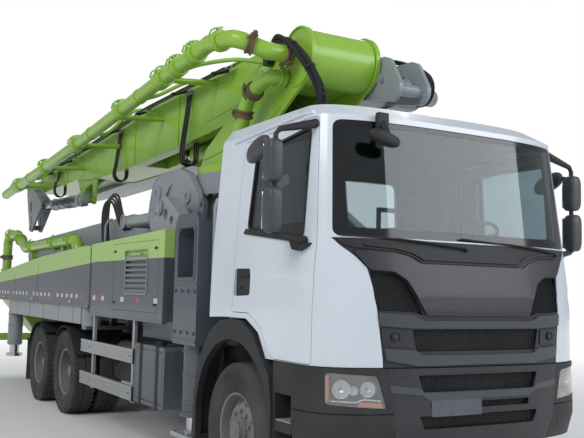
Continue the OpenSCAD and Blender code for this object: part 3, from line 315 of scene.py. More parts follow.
# gathers boxes, tubes, turned shapes and loose faces into one mesh
class Shape:
    def __init__(self):
        self.verts = []
        self.faces = []
        self.kinds = []

    def add(self, verts, faces, kind=0, turn=None):
        start = len(self.verts)
        self.verts += [tuple(turn @ Vector(v)) if turn else tuple(v) for v in verts]
        self.faces += [tuple(start + i for i in face) for face in faces]
        self.kinds += [kind] * len(faces)
        return self

    def join(self, other, kind=0, turn=None):
        return self.add(other.verts, other.faces, kind, turn)

    def box(self, low, high, kind=0, turn=None):
        corners = [(x, y, z) for x in (low[0], high[0]) for y in (low[1], high[1]) for z in (low[2], high[2])]
        sides = [(0, 1, 3, 2), (4, 6, 7, 5), (0, 4, 5, 1), (2, 3, 7, 6), (0, 2, 6, 4), (1, 5, 7, 3)]
        return self.add(corners, sides, kind, turn)

    def rings(self, rings, kind=0, closed=False, turn=None):
        size = len(rings[0])
        faces = [(r * size + i, r * size + (i + 1) % size, (r + 1) * size + (i + 1) % size, (r + 1) * size + i)
                 for r in range(len(rings) - 1) for i in range(size)]
        if closed:
            last = (len(rings) - 1) * size
            faces += [(last + i, last + (i + 1) % size, (i + 1) % size, i) for i in range(size)]
        else:
            faces += [tuple(reversed(range(size))), tuple(range((len(rings) - 1) * size, len(rings) * size))]
        return self.add([p for ring in rings for p in ring], faces, kind, turn)

    def tube(self, points, radius, kind=0, sides=12, flat=1.0):
        points = [Vector(p) for p in points]
        radii = radius if isinstance(radius, (list, tuple)) else [radius] * len(points)
        ahead = [(points[min(i + 1, len(points) - 1)] - points[max(i - 1, 0)]).normalized() for i in range(len(points))]
        across = ahead[0].orthogonal().normalized()
        rings = []
        for p, d, r in zip(points, ahead, radii):
            across = (across - d * across.dot(d)).normalized()
            other = d.cross(across)
            rings.append([p + (across * math.cos(a) + other * math.sin(a) * flat) * r
                          for a in (2 * math.pi * i / sides for i in range(sides))])
        return self.rings(rings, kind)

    # a closed outline of (radius, height) turned about an axis through centre
    def turned(self, outline, centre, axis, kind=0, steps=48):
        axis = Vector(axis).normalized()
        across = axis.orthogonal().normalized()
        other = axis.cross(across)
        centre = Vector(centre)
        rings = [[centre + axis * h + (across * math.cos(a) + other * math.sin(a)) * r for r, h in outline]
                 for a in (2 * math.pi * i / steps for i in range(steps))]
        return self.rings(rings, kind, closed=True)

    def make(self, name, kinds, body, smooth=35, bevel=None, levels=0):
        mesh = bpy.data.meshes.new(name)
        mesh.from_pydata(self.verts, [], self.faces)
        for kind in kinds:
            mesh.materials.append(finishes[kind])
        mesh.polygons.foreach_set("material_index", self.kinds)
        fixNormals(mesh)
        mesh.polygons.foreach_set("use_smooth", [True] * len(mesh.polygons))
        mesh.set_sharp_from_angle(angle=math.radians(smooth))
        made = bpy.data.objects.new(name, mesh)
        bpy.context.collection.objects.link(made)
        if bevel:
            rounding = made.modifiers.new("rounding", "BEVEL")
            rounding.width, rounding.segments, rounding.limit_method = bevel, 2, "ANGLE"
            rounding.harden_normals = False
        if levels:
            smoothing = made.modifiers.new("smoothing", "SUBSURF")
            smoothing.levels = smoothing.render_levels = levels
        if body:
            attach(made, body)
        return made


def fixNormals(mesh):
    work = bmesh.new()
    work.from_mesh(mesh)
    bmesh.ops.recalc_face_normals(work, faces=work.faces)
    work.to_mesh(mesh)
    work.free()


# floor, backdrop and lights
studio = dict(floor=(0.90, 0.90, 0.90), key=1500, fill=800, top=900, sky=0.42, fadeFrom=6.5, fadeTo=15.0)


def lamp(name, place, target, size, power, colour=(1, 1, 1)):
    data = bpy.data.lights.new(name, "AREA")
    data.shape, data.size, data.size_y, data.energy, data.color = "RECTANGLE", *size, power, colour
    made = bpy.data.objects.new(name, data)
    made.location = place
    made.rotation_mode = "QUATERNION"
    made.rotation_quaternion = (Vector(target) - Vector(place)).to_track_quat("-Z", "Y")
    bpy.context.collection.objects.link(made)


def studioSetting():
    # the floor turns into the white backdrop far from the truck
    f = Finish("floorPale")
    place = f.place()
    x, y, z = f.split(place)
    grain = f.noise(place, 3.0, 4.0)
    away = ((x * x + y * y).calc("SQRT") - studio["fadeFrom"]) / (studio["fadeTo"] - studio["fadeFrom"])
    ground = f.node("ShaderNodeBsdfPrincipled", None, {
        "Base Color": f.mix(grain, tuple(c * 0.97 for c in studio["floor"]), studio["floor"]), "Roughness": 0.9})
    glow = f.node("ShaderNodeEmission", None, {"Color": (1, 1, 1, 1), "Strength": 1.0})
    finishes["floor"] = f.output(f.node("ShaderNodeMixShader", None, [away.clamp(), ground, glow]))
    floor = Shape().add([(-60, -60, 0), (60, -60, 0), (60, 60, 0), (-60, 60, 0)], [(0, 1, 2, 3)])
    floor.make("floor", ["floor"], None)
    world = bpy.data.worlds.new("studio")
    bpy.context.scene.world = world
    world.use_nodes = True
    tree = world.node_tree
    tree.nodes.clear()
    path = tree.nodes.new("ShaderNodeLightPath")
    seen = tree.nodes.new("ShaderNodeMath")
    seen.operation = "MAXIMUM"
    tree.links.new(path.outputs["Is Camera Ray"], seen.inputs[0])
    tree.links.new(path.outputs["Is Transmission Ray"], seen.inputs[1])
    soft = tree.nodes.new("ShaderNodeBackground")
    soft.inputs[0].default_value = (0.93, 0.96, 1.0, 1)
    soft.inputs[1].default_value = studio["sky"]
    white = tree.nodes.new("ShaderNodeBackground")
    white.inputs[1].default_value = 1
    white.inputs[0].default_value = (1, 1, 1, 1)
    both = tree.nodes.new("ShaderNodeMixShader")
    out = tree.nodes.new("ShaderNodeOutputWorld")
    tree.links.new(seen.outputs[0], both.inputs[0])
    tree.links.new(soft.outputs[0], both.inputs[1])
    tree.links.new(white.outputs[0], both.inputs[2])
    tree.links.new(both.outputs[0], out.inputs[0])
    lamp("key", (10, -14, 12), (1, 0, 1.5), (9, 7), studio["key"], (1, 0.98, 0.95))
    lamp("fill", (15, 8, 8), (2, 0, 1.5), (9, 7), studio["fill"], (0.95, 0.97, 1))
    lamp("back", (-12, 10, 12), (0, 0, 1.5), (10, 8), studio["top"])
    bpy.context.scene.view_settings.view_transform = "Standard"


studioSetting()
print("studio set")


# the cab's plans: height, half width, where the corner starts, front; and the bumper's
cab = dict(rear=3.87, wall=0.05, gap=0.005, floor=1.17, ceiling=2.885, crease=0.007, steps=20,
           plans=[(1.11, 1.222, 5.3, 5.812), (1.5, 1.222, 5.3, 5.806), (1.95, 1.205, 5.31, 5.7),
                  (2.83, 1.14, 5.23, 5.59), (2.935, 1.057, 5.09, 5.4)],
           bumper=[(0.56, 1.205, 5.28, 5.78), (0.72, 1.232, 5.29, 5.828), (1.104, 1.226, 5.3, 5.818)],
           door=[(4.325, 1.425), (4.6, 1.425), (4.79, 1.33), (4.91, 1.16), (4.985, 1.113), (5.484, 1.113),
                 (5.486, 1.95), (5.392, 2.815), (4.335, 2.768)],
           window=[(4.515, 2.07), (5.362, 1.972), (5.335, 2.742), (4.552, 2.655)],
           screen=[(-1.092, 1.975), (1.092, 1.975), (1.045, 2.79), (-1.045, 2.79)],
           arch=[(3.86, 0.9), (3.86, 1.372), (4.15, 1.385), (4.56, 1.385), (4.76, 1.29), (4.88, 1.12), (4.88, 0.9)],
           front=[(0.0, 1.0), (0.80, 1.0), (0.806, 1.171), (0.845, 1.478), (0.866, 1.644), (0.89, 1.764),
                  (0.96, 1.84), (1.05, 1.91), (1.10, 1.965), (0.0, 1.965)])


def between(table, z):
    if z <= table[0][0]:
        return table[0][1:]
    for low, high in zip(table, table[1:]):
        if z <= high[0]:
            share = (z - low[0]) / (high[0] - low[0])
            return tuple(a + (b - a) * share for a, b in zip(low[1:], high[1:]))
    return table[-1][1:]


def smoothStep(value, low, high):
    share = min(1.0, max(0.0, (value - low) / (high - low)))
    return share * share * (3 - 2 * share)


# how far the cab's skin steps in below the crease that runs round its corner
def creaseDepth(x, z):
    line = 1.735 - 0.06 * (x - 4.6) - 0.30 * max(0.0, x - 5.46)
    fade = smoothStep(x, 4.35, 4.7)
    return cab["crease"] * fade * (1 - smoothStep(z, line - 0.016, line + 0.016))


def frontOf(y, z, table=None):
    half, corner, nose = between(table or cab["plans"], z)
    share = min(1.0, abs(y) / half) ** 3
    return corner + (nose - corner) * (1 - share) ** (1 / 3)


def sideOf(x, z, table=None):
    half, corner, nose = between(table or cab["plans"], z)
    if x <= corner:
        return half
    return half * max(0.0, 1 - ((x - corner) / (nose - corner)) ** 3) ** (1 / 3)


# one closed row of the cab's or bumper's outline at height z, inset inwards
def outlineRow(table, z, inset, rear, lift=0.0):
    half, corner, nose = between(table, z)
    half, corner, nose, rear = half - inset, corner - inset * 0.5, nose - inset, rear + inset
    row = [(rear, -half + 0.045), (rear + 0.045, -half)]
    row += [(rear + 0.045 + (corner - rear - 0.045) * i / 8, -half) for i in range(1, 8)]
    for i in range(cab["steps"] + 1):
        turn = math.pi / 2 * i / cab["steps"]
        row.append((corner + (nose - corner) * math.sin(turn) ** 0.667, -half * max(0.0, math.cos(turn)) ** 0.667))
    row += [(x, -y) for x, y in reversed(row[:-1])]
    points = []
    for x, y in row:
        depth = creaseDepth(x, z) if table is cab["plans"] and inset < 0.03 else 0.0
        points.append((x - depth * smoothStep(x, 5.3, 5.6), y - math.copysign(depth * (1 - smoothStep(x, 5.4, 5.75)), y),
                       z + lift))
    return points


def cabSolid(inset, low=1.11, high=2.935, lift=0.0):
    heights = [low + (2.83 - low) * i / 44 for i in range(45)]
    heights += [2.83 + (high - 2.83) * math.sin(math.pi / 2 * i / 6) for i in range(1, 7)] if high > 2.84 else []
    if high < 2.84:
        heights = [low + (high - low) * i / 30 for i in range(31)]
    shape = Shape()
    rows = []
    for z in heights:
        rows.append(outlineRow(cab["plans"], z, inset, cab["rear"], lift))
    if high > 2.9:  # a low crown closes the roof
        top = rows[-1]
        middle = (sum(p[0] for p in top) / len(top), 0.0)
        for share, rise in ((0.94, 0.006), (0.8, 0.013), (0.5, 0.02)):
            rows.append([(middle[0] + (x - middle[0]) * share, y * share, z + rise) for x, y, z in top])
    return shape.rings(rows)


def bumperSolid(inset, low=0.56, high=1.104):
    heights = [low + (high - low) * i / 14 for i in range(15)]
    return Shape().rings([outlineRow(cab["bumper"], z, inset, 5.15) for z in heights])


# corners of a flat outline rounded to a radius
def rounded(points, radius, steps=5):
    result = []
    for i, here in enumerate(points):
        before, here, after = Vector(points[i - 1]), Vector(here), Vector(points[(i + 1) % len(points)])
        a, b = before - here, after - here
        reach = min(radius, a.length * 0.45, b.length * 0.45)
        start, end = here + a.normalized() * reach, here + b.normalized() * reach
        for k in range(steps + 1):
            t = k / steps
            p = start * (1 - t) ** 2 + here * 2 * t * (1 - t) + end * t ** 2
            result.append((p.x, p.y))
    return result


def grown(points, by):
    size = len(points)
    area = sum(points[i][0] * points[(i + 1) % size][1] - points[(i + 1) % size][0] * points[i][1] for i in range(size))
    sign = 1 if area > 0 else -1
    result = []
    for i in range(size):
        a, p, b = Vector(points[i - 1]), Vector(points[i]), Vector(points[(i + 1) % size])
        n1 = Vector(((p - a).y, -(p - a).x)).normalized() * sign
        n2 = Vector(((b - p).y, -(b - p).x)).normalized() * sign
        way = (n1 + n2) / (1 + n1.dot(n2))
        result.append(tuple(p + way * by))
    return result


# an outline pulled out along an axis, its two coordinates being the other two axes in order
def prism(outline, axis, low, high):
    def at(p, depth):
        return {"x": (depth, *p), "y": (p[0], depth, p[1]), "z": (*p, depth)}[axis]
    return Shape().rings([[at(p, low) for p in outline], [at(p, high) for p in outline]])


def mirrored(points):
    return points + [(-a, b) for a, b in reversed(points) if abs(a) > 1e-6]


def asObject(shape, name="work"):
    mesh = bpy.data.meshes.new(name)
    mesh.from_pydata(shape.verts, [], shape.faces)
    fixNormals(mesh)
    made = bpy.data.objects.new(name, mesh)
    bpy.context.collection.objects.link(made)
    return made


# a body with shapes cut out of it or kept, as a plain mesh object
def carved(name, body, steps, kind, rides, smooth=30, bevel=None):
    made = asObject(body, name)
    cutters = []
    for operation, shape in steps:
        cutter = asObject(shape, name + "Cutter")
        cutters.append(cutter)
        step = made.modifiers.new("cut", "BOOLEAN")
        step.operation, step.object, step.solver = operation, cutter, "EXACT"
    graph = bpy.context.evaluated_depsgraph_get()
    mesh = bpy.data.meshes.new_from_object(made.evaluated_get(graph))
    made.modifiers.clear()
    made.data = mesh
    for cutter in cutters:
        bpy.data.objects.remove(cutter)
    mesh.materials.clear()
    mesh.materials.append(finishes[kind])
    mesh.polygons.foreach_set("material_index", [0] * len(mesh.polygons))
    mesh.polygons.foreach_set("use_smooth", [True] * len(mesh.polygons))
    mesh.set_sharp_from_angle(angle=math.radians(smooth))
    if bevel:
        rounding = made.modifiers.new("rounding", "BEVEL")
        rounding.width, rounding.segments, rounding.limit_method = bevel, 2, "ANGLE"
        rounding.angle_limit = math.radians(50)
    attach(made, rides)
    return made


cut, keep = "DIFFERENCE", "INTERSECT"
sides = {"right": -1, "left": 1}


def onSide(points, side):
    return [(x, y * side, z) for x, y, z in points]


def doorCut(side, grow):
    outline = grown(rounded(cab["door"], 0.03), grow)
    low, high = sorted((0.95 * side, 1.3 * side))
    return prism(outline, "y", low, high)


def windowCut(side, grow=0.0):
    outline = grown(rounded(cab["window"], 0.05), grow)
    low, high = sorted((0.9 * side, 1.3 * side))
    return prism(outline, "y", low, high)


def handleCut(side):
    low, high = sorted((1.194 * side, 1.3 * side))
    return prism(rounded([(4.34, 1.55), (4.605, 1.56), (4.6, 1.765), (4.35, 1.765)], 0.03), "y", low, high)


def buildCab():
    inner = cabSolid(cab["wall"], low=cab["floor"], high=2.83)
    opening = prism(grown(rounded(cab["screen"], 0.06), 0.0), "x", 5.2, 6.0)
    rearPane = [(-0.7, 2.1), (0.7, 2.1), (0.68, 2.62), (-0.68, 2.62)]
    steps = [(cut, inner), (cut, opening), (cut, prism(cab["arch"], "y", -1.3, 1.3)),
             (cut, prism(mirrored(cab["front"]), "x", 5.35, 6.0)),
             (cut, prism(rounded(rearPane, 0.06), "x", 3.8, 3.95))]
    steps += [(cut, doorCut(side, 0.0)) for side in (-1, 1)]
    shell = carved("cabShell", cabSolid(0.0), steps, "cabWhite", "truck", bevel=0.004)
    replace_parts(shell, "cab_shell")
    screenPane = carved("windscreenPane", cabSolid(0.008), [(cut, cabSolid(0.014)), (keep, opening)], "screenGlass", "truck")
    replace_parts(screenPane, "windscreen")
    for name, side in sides.items():
        leaf = carved("doorLeaf" + name.title(), cabSolid(0.0), [
            (cut, cabSolid(cab["wall"])), (keep, doorCut(side, -cab["gap"])), (cut, windowCut(side)),
            (cut, handleCut(side))],
            "cabWhite", "door_" + name, bevel=0.004)
        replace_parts(leaf, "door_" + name)
        pane = carved("doorPane" + name.title(), cabSolid(0.014), [(cut, cabSolid(0.02)), (keep, windowCut(side))],
                      "doorGlass", "door_" + name)
        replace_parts(pane, "door_glass_" + name)


# dark lining on the cab's inner walls, posts and roof, and on the doors
def buildLining():
    walls = [(cut, cabSolid(0.056, low=1.30, high=2.824)), (cut, prism(rounded(cab["screen"], 0.06), "x", 5.2, 6.0)),
             (cut, prism(rounded([(-0.7, 2.1), (0.7, 2.1), (0.68, 2.62), (-0.68, 2.62)], 0.06), "x", 3.8, 3.98)),
             (keep, Shape().box((3.9, -1.3, 1.425), (5.56, 1.3, 2.90)))]
    walls += [(cut, doorCut(side, 0.0)) for side in (-1, 1)]
    carved("cabLining", cabSolid(0.0505, low=1.2, high=2.8305), walls, "lining", "truck")
    for name, side in sides.items():
        carved("doorLining" + name.title(), cabSolid(0.0505), [
            (cut, cabSolid(0.056)), (keep, doorCut(side, -0.016)), (cut, windowCut(side, 0.012))], "lining", "door_" + name)


buildCab()
buildLining()
print("cab skin made")


# a box whose edges are all soft, as a superellipsoid
def pillow(centre, half, power=4.0, steps=28, rows=12, turn=None):
    def curve(value):
        return math.copysign(abs(value) ** (2 / power), value)
    rings = []
    for i in range(1, rows):
        rise = -math.pi / 2 + math.pi * i / rows
        width, height = curve(math.cos(rise)), curve(math.sin(rise))
        ring = []
        for k in range(steps):
            a = 2 * math.pi * k / steps
            p = Vector((half[0] * width * curve(math.cos(a)), half[1] * width * curve(math.sin(a)), half[2] * height))
            ring.append((turn @ p if turn else p) + Vector(centre))
        rings.append(ring)
    return Shape().rings(rings)


# one tree lays a piece at each point of a mesh, turned and sized by the points' own values
def repeatTree():
    group = bpy.data.node_groups.new("repeatedPieces", "GeometryNodeTree")
    wanted = [("Points", "Geometry"), ("Piece", "Object"), ("Finish", "Material"), ("Size", "Float"),
              ("Jitter", "Float"), ("Seed", "Int")]
    for name, kind in wanted:
        group.interface.new_socket(name=name, in_out="INPUT", socket_type="NodeSocket" + kind)
    group.interface.new_socket(name="Pieces", in_out="OUTPUT", socket_type="NodeSocketGeometry")
    t = Nodes(group)
    given = {name: t.node("NodeGroupInput", output=name) for name, kind in wanted}
    info = t.node("GeometryNodeObjectInfo", dict(transform_space="ORIGINAL"), {"Object": given["Piece"]}, "Geometry")
    turn, grow = (t.node("GeometryNodeInputNamedAttribute", dict(data_type="FLOAT_VECTOR"), {"Name": name}, "Attribute")
                  for name in ("turn", "grow"))
    chance = t.node("FunctionNodeRandomValue", dict(data_type="FLOAT_VECTOR"),
                    {0: (-1, -1, -1), 1: (1, 1, 1), "Seed": given["Seed"]})
    shift = t.node("ShaderNodeVectorMath", dict(operation="SCALE"), {0: chance, "Scale": given["Jitter"]})
    sized = t.node("ShaderNodeVectorMath", dict(operation="SCALE"), {0: grow, "Scale": given["Size"]})
    moved = t.node("GeometryNodeSetPosition", None, {"Geometry": given["Points"], "Offset": shift})
    laid = t.node("GeometryNodeInstanceOnPoints", None, {
        "Points": moved, "Instance": info, "Scale": sized,
        "Rotation": t.node("FunctionNodeEulerToRotation", None, [turn])})
    real = t.node("GeometryNodeRealizeInstances", None, [laid])
    t.node("NodeGroupOutput", None, [t.node("GeometryNodeSetMaterial", None, {"Geometry": real, "Material": given["Finish"]})],
           None)
    return group


repeatGroup = repeatTree()


# places are (point, turn about x, y and z, size along x, y and z)
def repeated(name, piece, places, kind, body, jitter=0.0, seed=3, smooth=35):
    source = asObject(piece, name + "Piece")
    mesh = bpy.data.meshes.new(name)
    mesh.from_pydata([tuple(p[0]) for p in places], [], [])
    for key, column in (("turn", 1), ("grow", 2)):
        layer = mesh.attributes.new(key, "FLOAT_VECTOR", "POINT")
        layer.data.foreach_set("vector", [v for p in places for v in p[column]])
    made = bpy.data.objects.new(name, mesh)
    bpy.context.collection.objects.link(made)
    step = made.modifiers.new("repeated", "NODES")
    step.node_group = repeatGroup
    for item in repeatGroup.interface.items_tree:
        value = {"Piece": source, "Finish": finishes[kind], "Size": 1.0, "Jitter": jitter, "Seed": seed}.get(item.name)
        if value is not None:
            step[item.identifier] = value
    graph = bpy.context.evaluated_depsgraph_get()
    solid = bpy.data.meshes.new_from_object(made.evaluated_get(graph))
    made.modifiers.clear()
    made.data = solid
    bpy.data.objects.remove(source)
    solid.materials.clear()
    solid.materials.append(finishes[kind])
    for name in ("turn", "grow"):
        if name in solid.attributes:
            solid.attributes.remove(solid.attributes[name])
    fixNormals(solid)
    solid.polygons.foreach_set("use_smooth", [True] * len(solid.polygons))
    solid.set_sharp_from_angle(angle=math.radians(smooth))
    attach(made, body)
    return made


def inside(point, outline):
    hit = False
    for (x1, y1), (x2, y2) in zip(outline, outline[1:] + outline[:1]):
        if (y1 > point[1]) != (y2 > point[1]) and point[0] < (x2 - x1) * (point[1] - y1) / (y2 - y1) + x1:
            hit = not hit
    return hit


def frontYaw(y, z, table):
    slope = (frontOf(y + 0.002, z, table) - frontOf(y - 0.002, z, table)) / 0.004
    return math.atan2(-slope, 1)


# six-sided cells in a honeycomb that follows the front, inside the outlines
def honeycomb(name, outlines, inset, table, body="truck", cell=0.0125, squash=0.78):
    ring = Shape()
    rows = []
    for radius, x in ((cell * 1.06, -0.004), (cell * 1.06, 0.003), (cell * 0.80, 0.003), (cell * 0.80, -0.004)):
        rows.append([(x, radius * math.cos(a), radius * math.sin(a) * squash)
                     for a in (math.pi / 3 * i for i in range(6))])
    ring.rings(rows, closed=True)
    places = []
    high, wide = cell * math.sqrt(3) * squash, cell * 1.5
    for outline in outlines:
        reach = grown(outline, cell * 0.7)
        low, top = min(p[1] for p in reach), max(p[1] for p in reach)
        left, right = min(p[0] for p in reach), max(p[0] for p in reach)
        for i in range(int((right - left) / wide) + 2):
            for k in range(int((top - low) / high) + 2):
                y, z = left + i * wide, low + (k + 0.5 * (i % 2)) * high
                if inside((y, z), reach):
                    places.append(((frontOf(y, z, table) - inset, y, z), (0, 0, frontYaw(y, z, table)), (1, 1, 1)))
    return repeated(name, ring, places, "plastic", body)


# front of the cab: half outlines as half width and height
front = dict(
    mouth=[(0.55, 1.213), (0.583, 1.361)],
    intake=[(0.868, 1.745), (0.697, 1.736), (0.607, 1.683), (0.552, 1.591), (0.497, 1.452), (0.566, 1.474),
            (0.841, 1.484), (0.862, 1.644)],
    cover=[(0.0, 1.455), (0.477, 1.455), (0.55, 1.595), (0.607, 1.69), (0.697, 1.745), (0.876, 1.755), (0.945, 1.836),
           (0.975, 1.868), (0.955, 1.886), (0.65, 1.866), (0.554, 1.843), (0.47, 1.80), (0.0, 1.80)],
    scuttle=[(0.0, 1.812), (0.462, 1.812), (0.546, 1.856), (0.645, 1.880), (0.95, 1.900), (1.02, 1.912), (1.082, 1.962),
             (0.0, 1.962)],
    ridge=[(0.0, 1.832), (0.452, 1.832), (0.536, 1.875), (0.66, 1.900), (0.90, 1.918), (0.90, 1.930), (0.655, 1.915),
           (0.53, 1.892), (0.446, 1.848), (0.0, 1.848)],
    bars=[[(0.0, 1.366), (0.592, 1.367), (0.83, 1.384), (0.84, 1.472), (0.578, 1.455), (0.55, 1.434), (0.49, 1.42),
           (0.0, 1.42)],
          [(0.0, 1.122), (0.54, 1.118), (0.786, 1.159), (0.80, 1.236), (0.564, 1.222), (0.52, 1.19), (0.0, 1.187)]],
    pad=[(0.60, 1.243), (0.802, 1.252), (0.82, 1.368), (0.607, 1.354)],
    seam=[(0.0, 0.5), (0.700, 0.5), (0.716, 0.655), (0.788, 1.2), (0.0, 1.2)],
    grille=[(0.0, 0.945), (0.51, 0.945), (0.547, 1.056), (0.0, 1.056)],
    slot=[(0.0, 0.83), (0.45, 0.83), (0.452, 0.874), (0.0, 0.874)],
    lower=[(0.0, 0.70), (0.50, 0.70), (0.54, 0.788), (0.0, 0.788)],
    barThree=[(0.0, 0.892), (0.470, 0.892), (0.515, 0.925), (0.755, 0.948), (0.764, 0.996), (0.541, 0.973),
              (0.498, 0.942), (0.0, 0.938)],
    shoulder=[(0.0, 1.064), (0.556, 1.064), (0.60, 1.052), (0.775, 1.052), (0.781, 1.096), (0.0, 1.096)],
    plate=[(-0.442, 0.78), (-0.006, 0.78), (-0.006, 0.93), (-0.442, 0.93)],
    lamp=[(0.783, 0.84), (1.152, 0.866), (1.152, 1.077), (0.846, 1.058)],
    corner=[(1.3, 0.812), (0.734, 0.812), (0.792, 1.2), (1.3, 1.2)],
    cornerLow=[(1.3, 0.5), (0.704, 0.5), (0.72, 0.655), (0.733, 0.806), (1.3, 0.806)],
    towCover=[(0.80, 0.63), (0.98, 0.64), (1.0, 0.745), (0.80, 0.735)])


def frontSolid(inset):
    heights = [1.06 + 0.96 * i / 26 for i in range(27)]
    return Shape().rings([outlineRow(cab["plans"], z, inset, 5.15) for z in heights])


def skinPiece(name, outlines, out, depth, kind, holes=(), solid=frontSolid, soft=0.012, bevel=0.003, body="truck"):
    steps = [(cut, solid(depth))]
    steps += [(cut, prism(hole, "x", 5.2, 6.0)) for hole in holes]
    steps += [(keep, prism(rounded(outlines, soft) if soft else outlines, "x", 5.3, 6.0))]
    return carved(name, solid(-out), steps, kind, body, bevel=bevel)


def flipped(outline):
    return [(-y, z) for y, z in outline]


def buildFront():
    mask = [(0.0, 1.109), (0.80, 1.109), (0.804, 1.171), (0.843, 1.478), (0.864, 1.644), (0.888, 1.765), (0.957, 1.841),
            (1.046, 1.911), (1.094, 1.963), (0.0, 1.963)]
    mouth, intakes = rounded(mirrored(front["mouth"]), 0.02), [rounded(front["intake"], 0.012)]
    intakes.append(flipped(intakes[0]))
    made = [skinPiece("frontBase", mirrored(mask), -0.006, 0.022, "charcoal", [mouth, *intakes], soft=0)]
    made.append(skinPiece("frontCover", mirrored(front["cover"]), 0.012, 0.012, "charcoal", bevel=0.007, soft=0.02))
    for i, bar in enumerate(front["bars"]):
        made.append(skinPiece("frontBar" + str(i + 1), mirrored(bar), 0.012, 0.012, "barGrey", bevel=0.006))
    made.append(skinPiece("scuttle", mirrored(front["scuttle"]), 0.004, 0.012, "plastic", bevel=0.004))
    made.append(skinPiece("scuttleRidge", mirrored(front["ridge"]), 0.016, 0.008, "plastic", bevel=0.005, soft=0.006))
    made.append(skinPiece("radiatorShroud", mirrored([(0.0, 1.112), (0.80, 1.112), (0.85, 1.6), (0.80, 1.78), (0.0, 1.78)]),
                          -0.075, 0.085, "plastic"))
    for side in (-1, 1):
        tag = "Right" if side < 0 else "Left"
        pad = [(y * side, z) for y, z in front["pad"]]
        made.append(skinPiece("frontPad" + tag, pad, 0.001, 0.012, "charcoal", bevel=0.004, soft=0.02))
        hook = (frontOf(0.715, 1.31) + 0.002, 0.715 * side, 1.31)
        ring = Shape().turned([(0.026, -0.006), (0.033, -0.006), (0.033, 0.004), (0.026, 0.004)], hook,
                              (1, 0.12 * side, 0.1), steps=32)
        ring.turned([(0.0, -0.01), (0.021, -0.01), (0.021, 0.001), (0.0, 0.001)], hook, (1, 0.12 * side, 0.1), steps=32)
        made.append(ring.make("hookCap" + tag, ["charcoal"], "truck", bevel=0.001))
    made.append(honeycomb("frontMesh", [mouth, *intakes], 0.032, cab["plans"]))

    hollow = bumperSolid(0.02, 0.58, 1.09)
    back = Shape().box((5.1, -2, 0.5), (5.292, 2, 1.2))
    openings = [rounded(mirrored(front[k]), 0.012) for k in ("grille", "slot", "lower")]
    lamp = rounded(front["lamp"], 0.03)
    centre = [(cut, hollow), (cut, back)] + [(cut, prism(hole, "x", 5.3, 6.0)) for hole in openings]
    made.append(carved("bumperCentre", bumperSolid(0), centre + [(keep, prism(mirrored(front["seam"]), "x", 5.2, 6.0))],
                       "charcoal", "truck", bevel=0.005))
    for side in (-1, 1):
        tag = "Right" if side < 0 else "Left"
        for part, key in (("Upper", "corner"), ("Lower", "cornerLow")):
            outline = [(y * side, z) for y, z in front[key]]
            steps = [(cut, hollow), (cut, back), (cut, prism([(y * side, z) for y, z in lamp], "x", 5.3, 6.0)),
                     (keep, prism(outline, "x", 5.2, 6.0))]
            made.append(carved("bumperCorner" + part + tag, bumperSolid(0), steps, "plastic", "truck", bevel=0.006))
        tow = [(y * side, z) for y, z in front["towCover"]]
        made.append(skinPiece("towCover" + tag, tow, 0.0015, 0.006, "plastic", solid=bumperSolid, soft=0.02, bevel=0.001))
    made.append(skinPiece("bumperBar", mirrored(front["barThree"]), 0.0035, 0.01, "barGrey", solid=bumperSolid, bevel=0.003))
    made.append(skinPiece("bumperShoulder", mirrored(front["shoulder"]), 0.003, 0.01, "charcoal", solid=bumperSolid,
                          bevel=0.003))
    made.append(skinPiece("blankPlate", front["plate"], 0.0008, 0.008, "slate", solid=bumperSolid, soft=0.01, bevel=0.001))
    made.append(skinPiece("bumperShroud", mirrored([(0.0, 0.62), (0.62, 0.62), (0.62, 1.07), (0.0, 1.07)]), -0.07, 0.08,
                          "plastic", solid=bumperSolid))
    made.append(honeycomb("bumperMesh", openings, 0.03, cab["bumper"]))

    # wipers at rest, arms and blades following the glass
    for name, tip, heel, pivot in (("Right", (-1.05, 1.985), (-0.20, 1.945), (-0.06, 1.93)),
                                   ("Left", (-0.10, 1.995), (0.78, 1.955), (0.90, 1.935))):
        shape = Shape()

        def on(share, out, lift=0.0):
            y, z = (a + (b - a) * share for a, b in zip(tip, heel))
            return (frontOf(y, z) + out, y, z + lift)
        shape.tube([on(i / 12, 0.012) for i in range(13)], 0.009, sides=8, flat=0.6)
        shape.tube([on(i / 12, 0.004) for i in range(13)], 0.004, sides=6)
        root = (frontOf(*pivot) + 0.022, *pivot)
        shape.tube([on(0.45, 0.024, 0.004), on(0.75, 0.030, 0.0), on(0.97, 0.030, -0.004), root],
                   [0.006, 0.009, 0.013, 0.016], sides=8, flat=0.7)
        shape.turned([(0.0, -0.02), (0.022, -0.02), (0.022, 0.012), (0.0, 0.014)], root, (1, 0, 0.3), steps=20)
        made.append(shape.make("wiper" + name, ["plastic"], "truck", bevel=0.001))

    # kerb mirror over the windscreen's right end
    bracket = Shape().box((-0.035, -0.045, -0.075), (0.012, 0.045, 0.05), turn=Matrix.Translation((5.60, -0.72, 2.80)))
    bracket.tube([(5.60, -0.72, 2.77), (5.66, -0.735, 2.71), (5.70, -0.75, 2.67)], [0.03, 0.024, 0.028], sides=14)
    made.append(bracket.make("kerbMirrorArm", ["plastic"], "truck", bevel=0.008))
    turned = Matrix.Rotation(math.radians(-14), 3, "X")
    made.append(pillow((5.715, -0.79, 2.645), (0.052, 0.125, 0.046), 2.6, turn=turned).make("kerbMirror", ["plastic"], "truck"))
    for thing in made:
        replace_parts(thing, "front_panel")


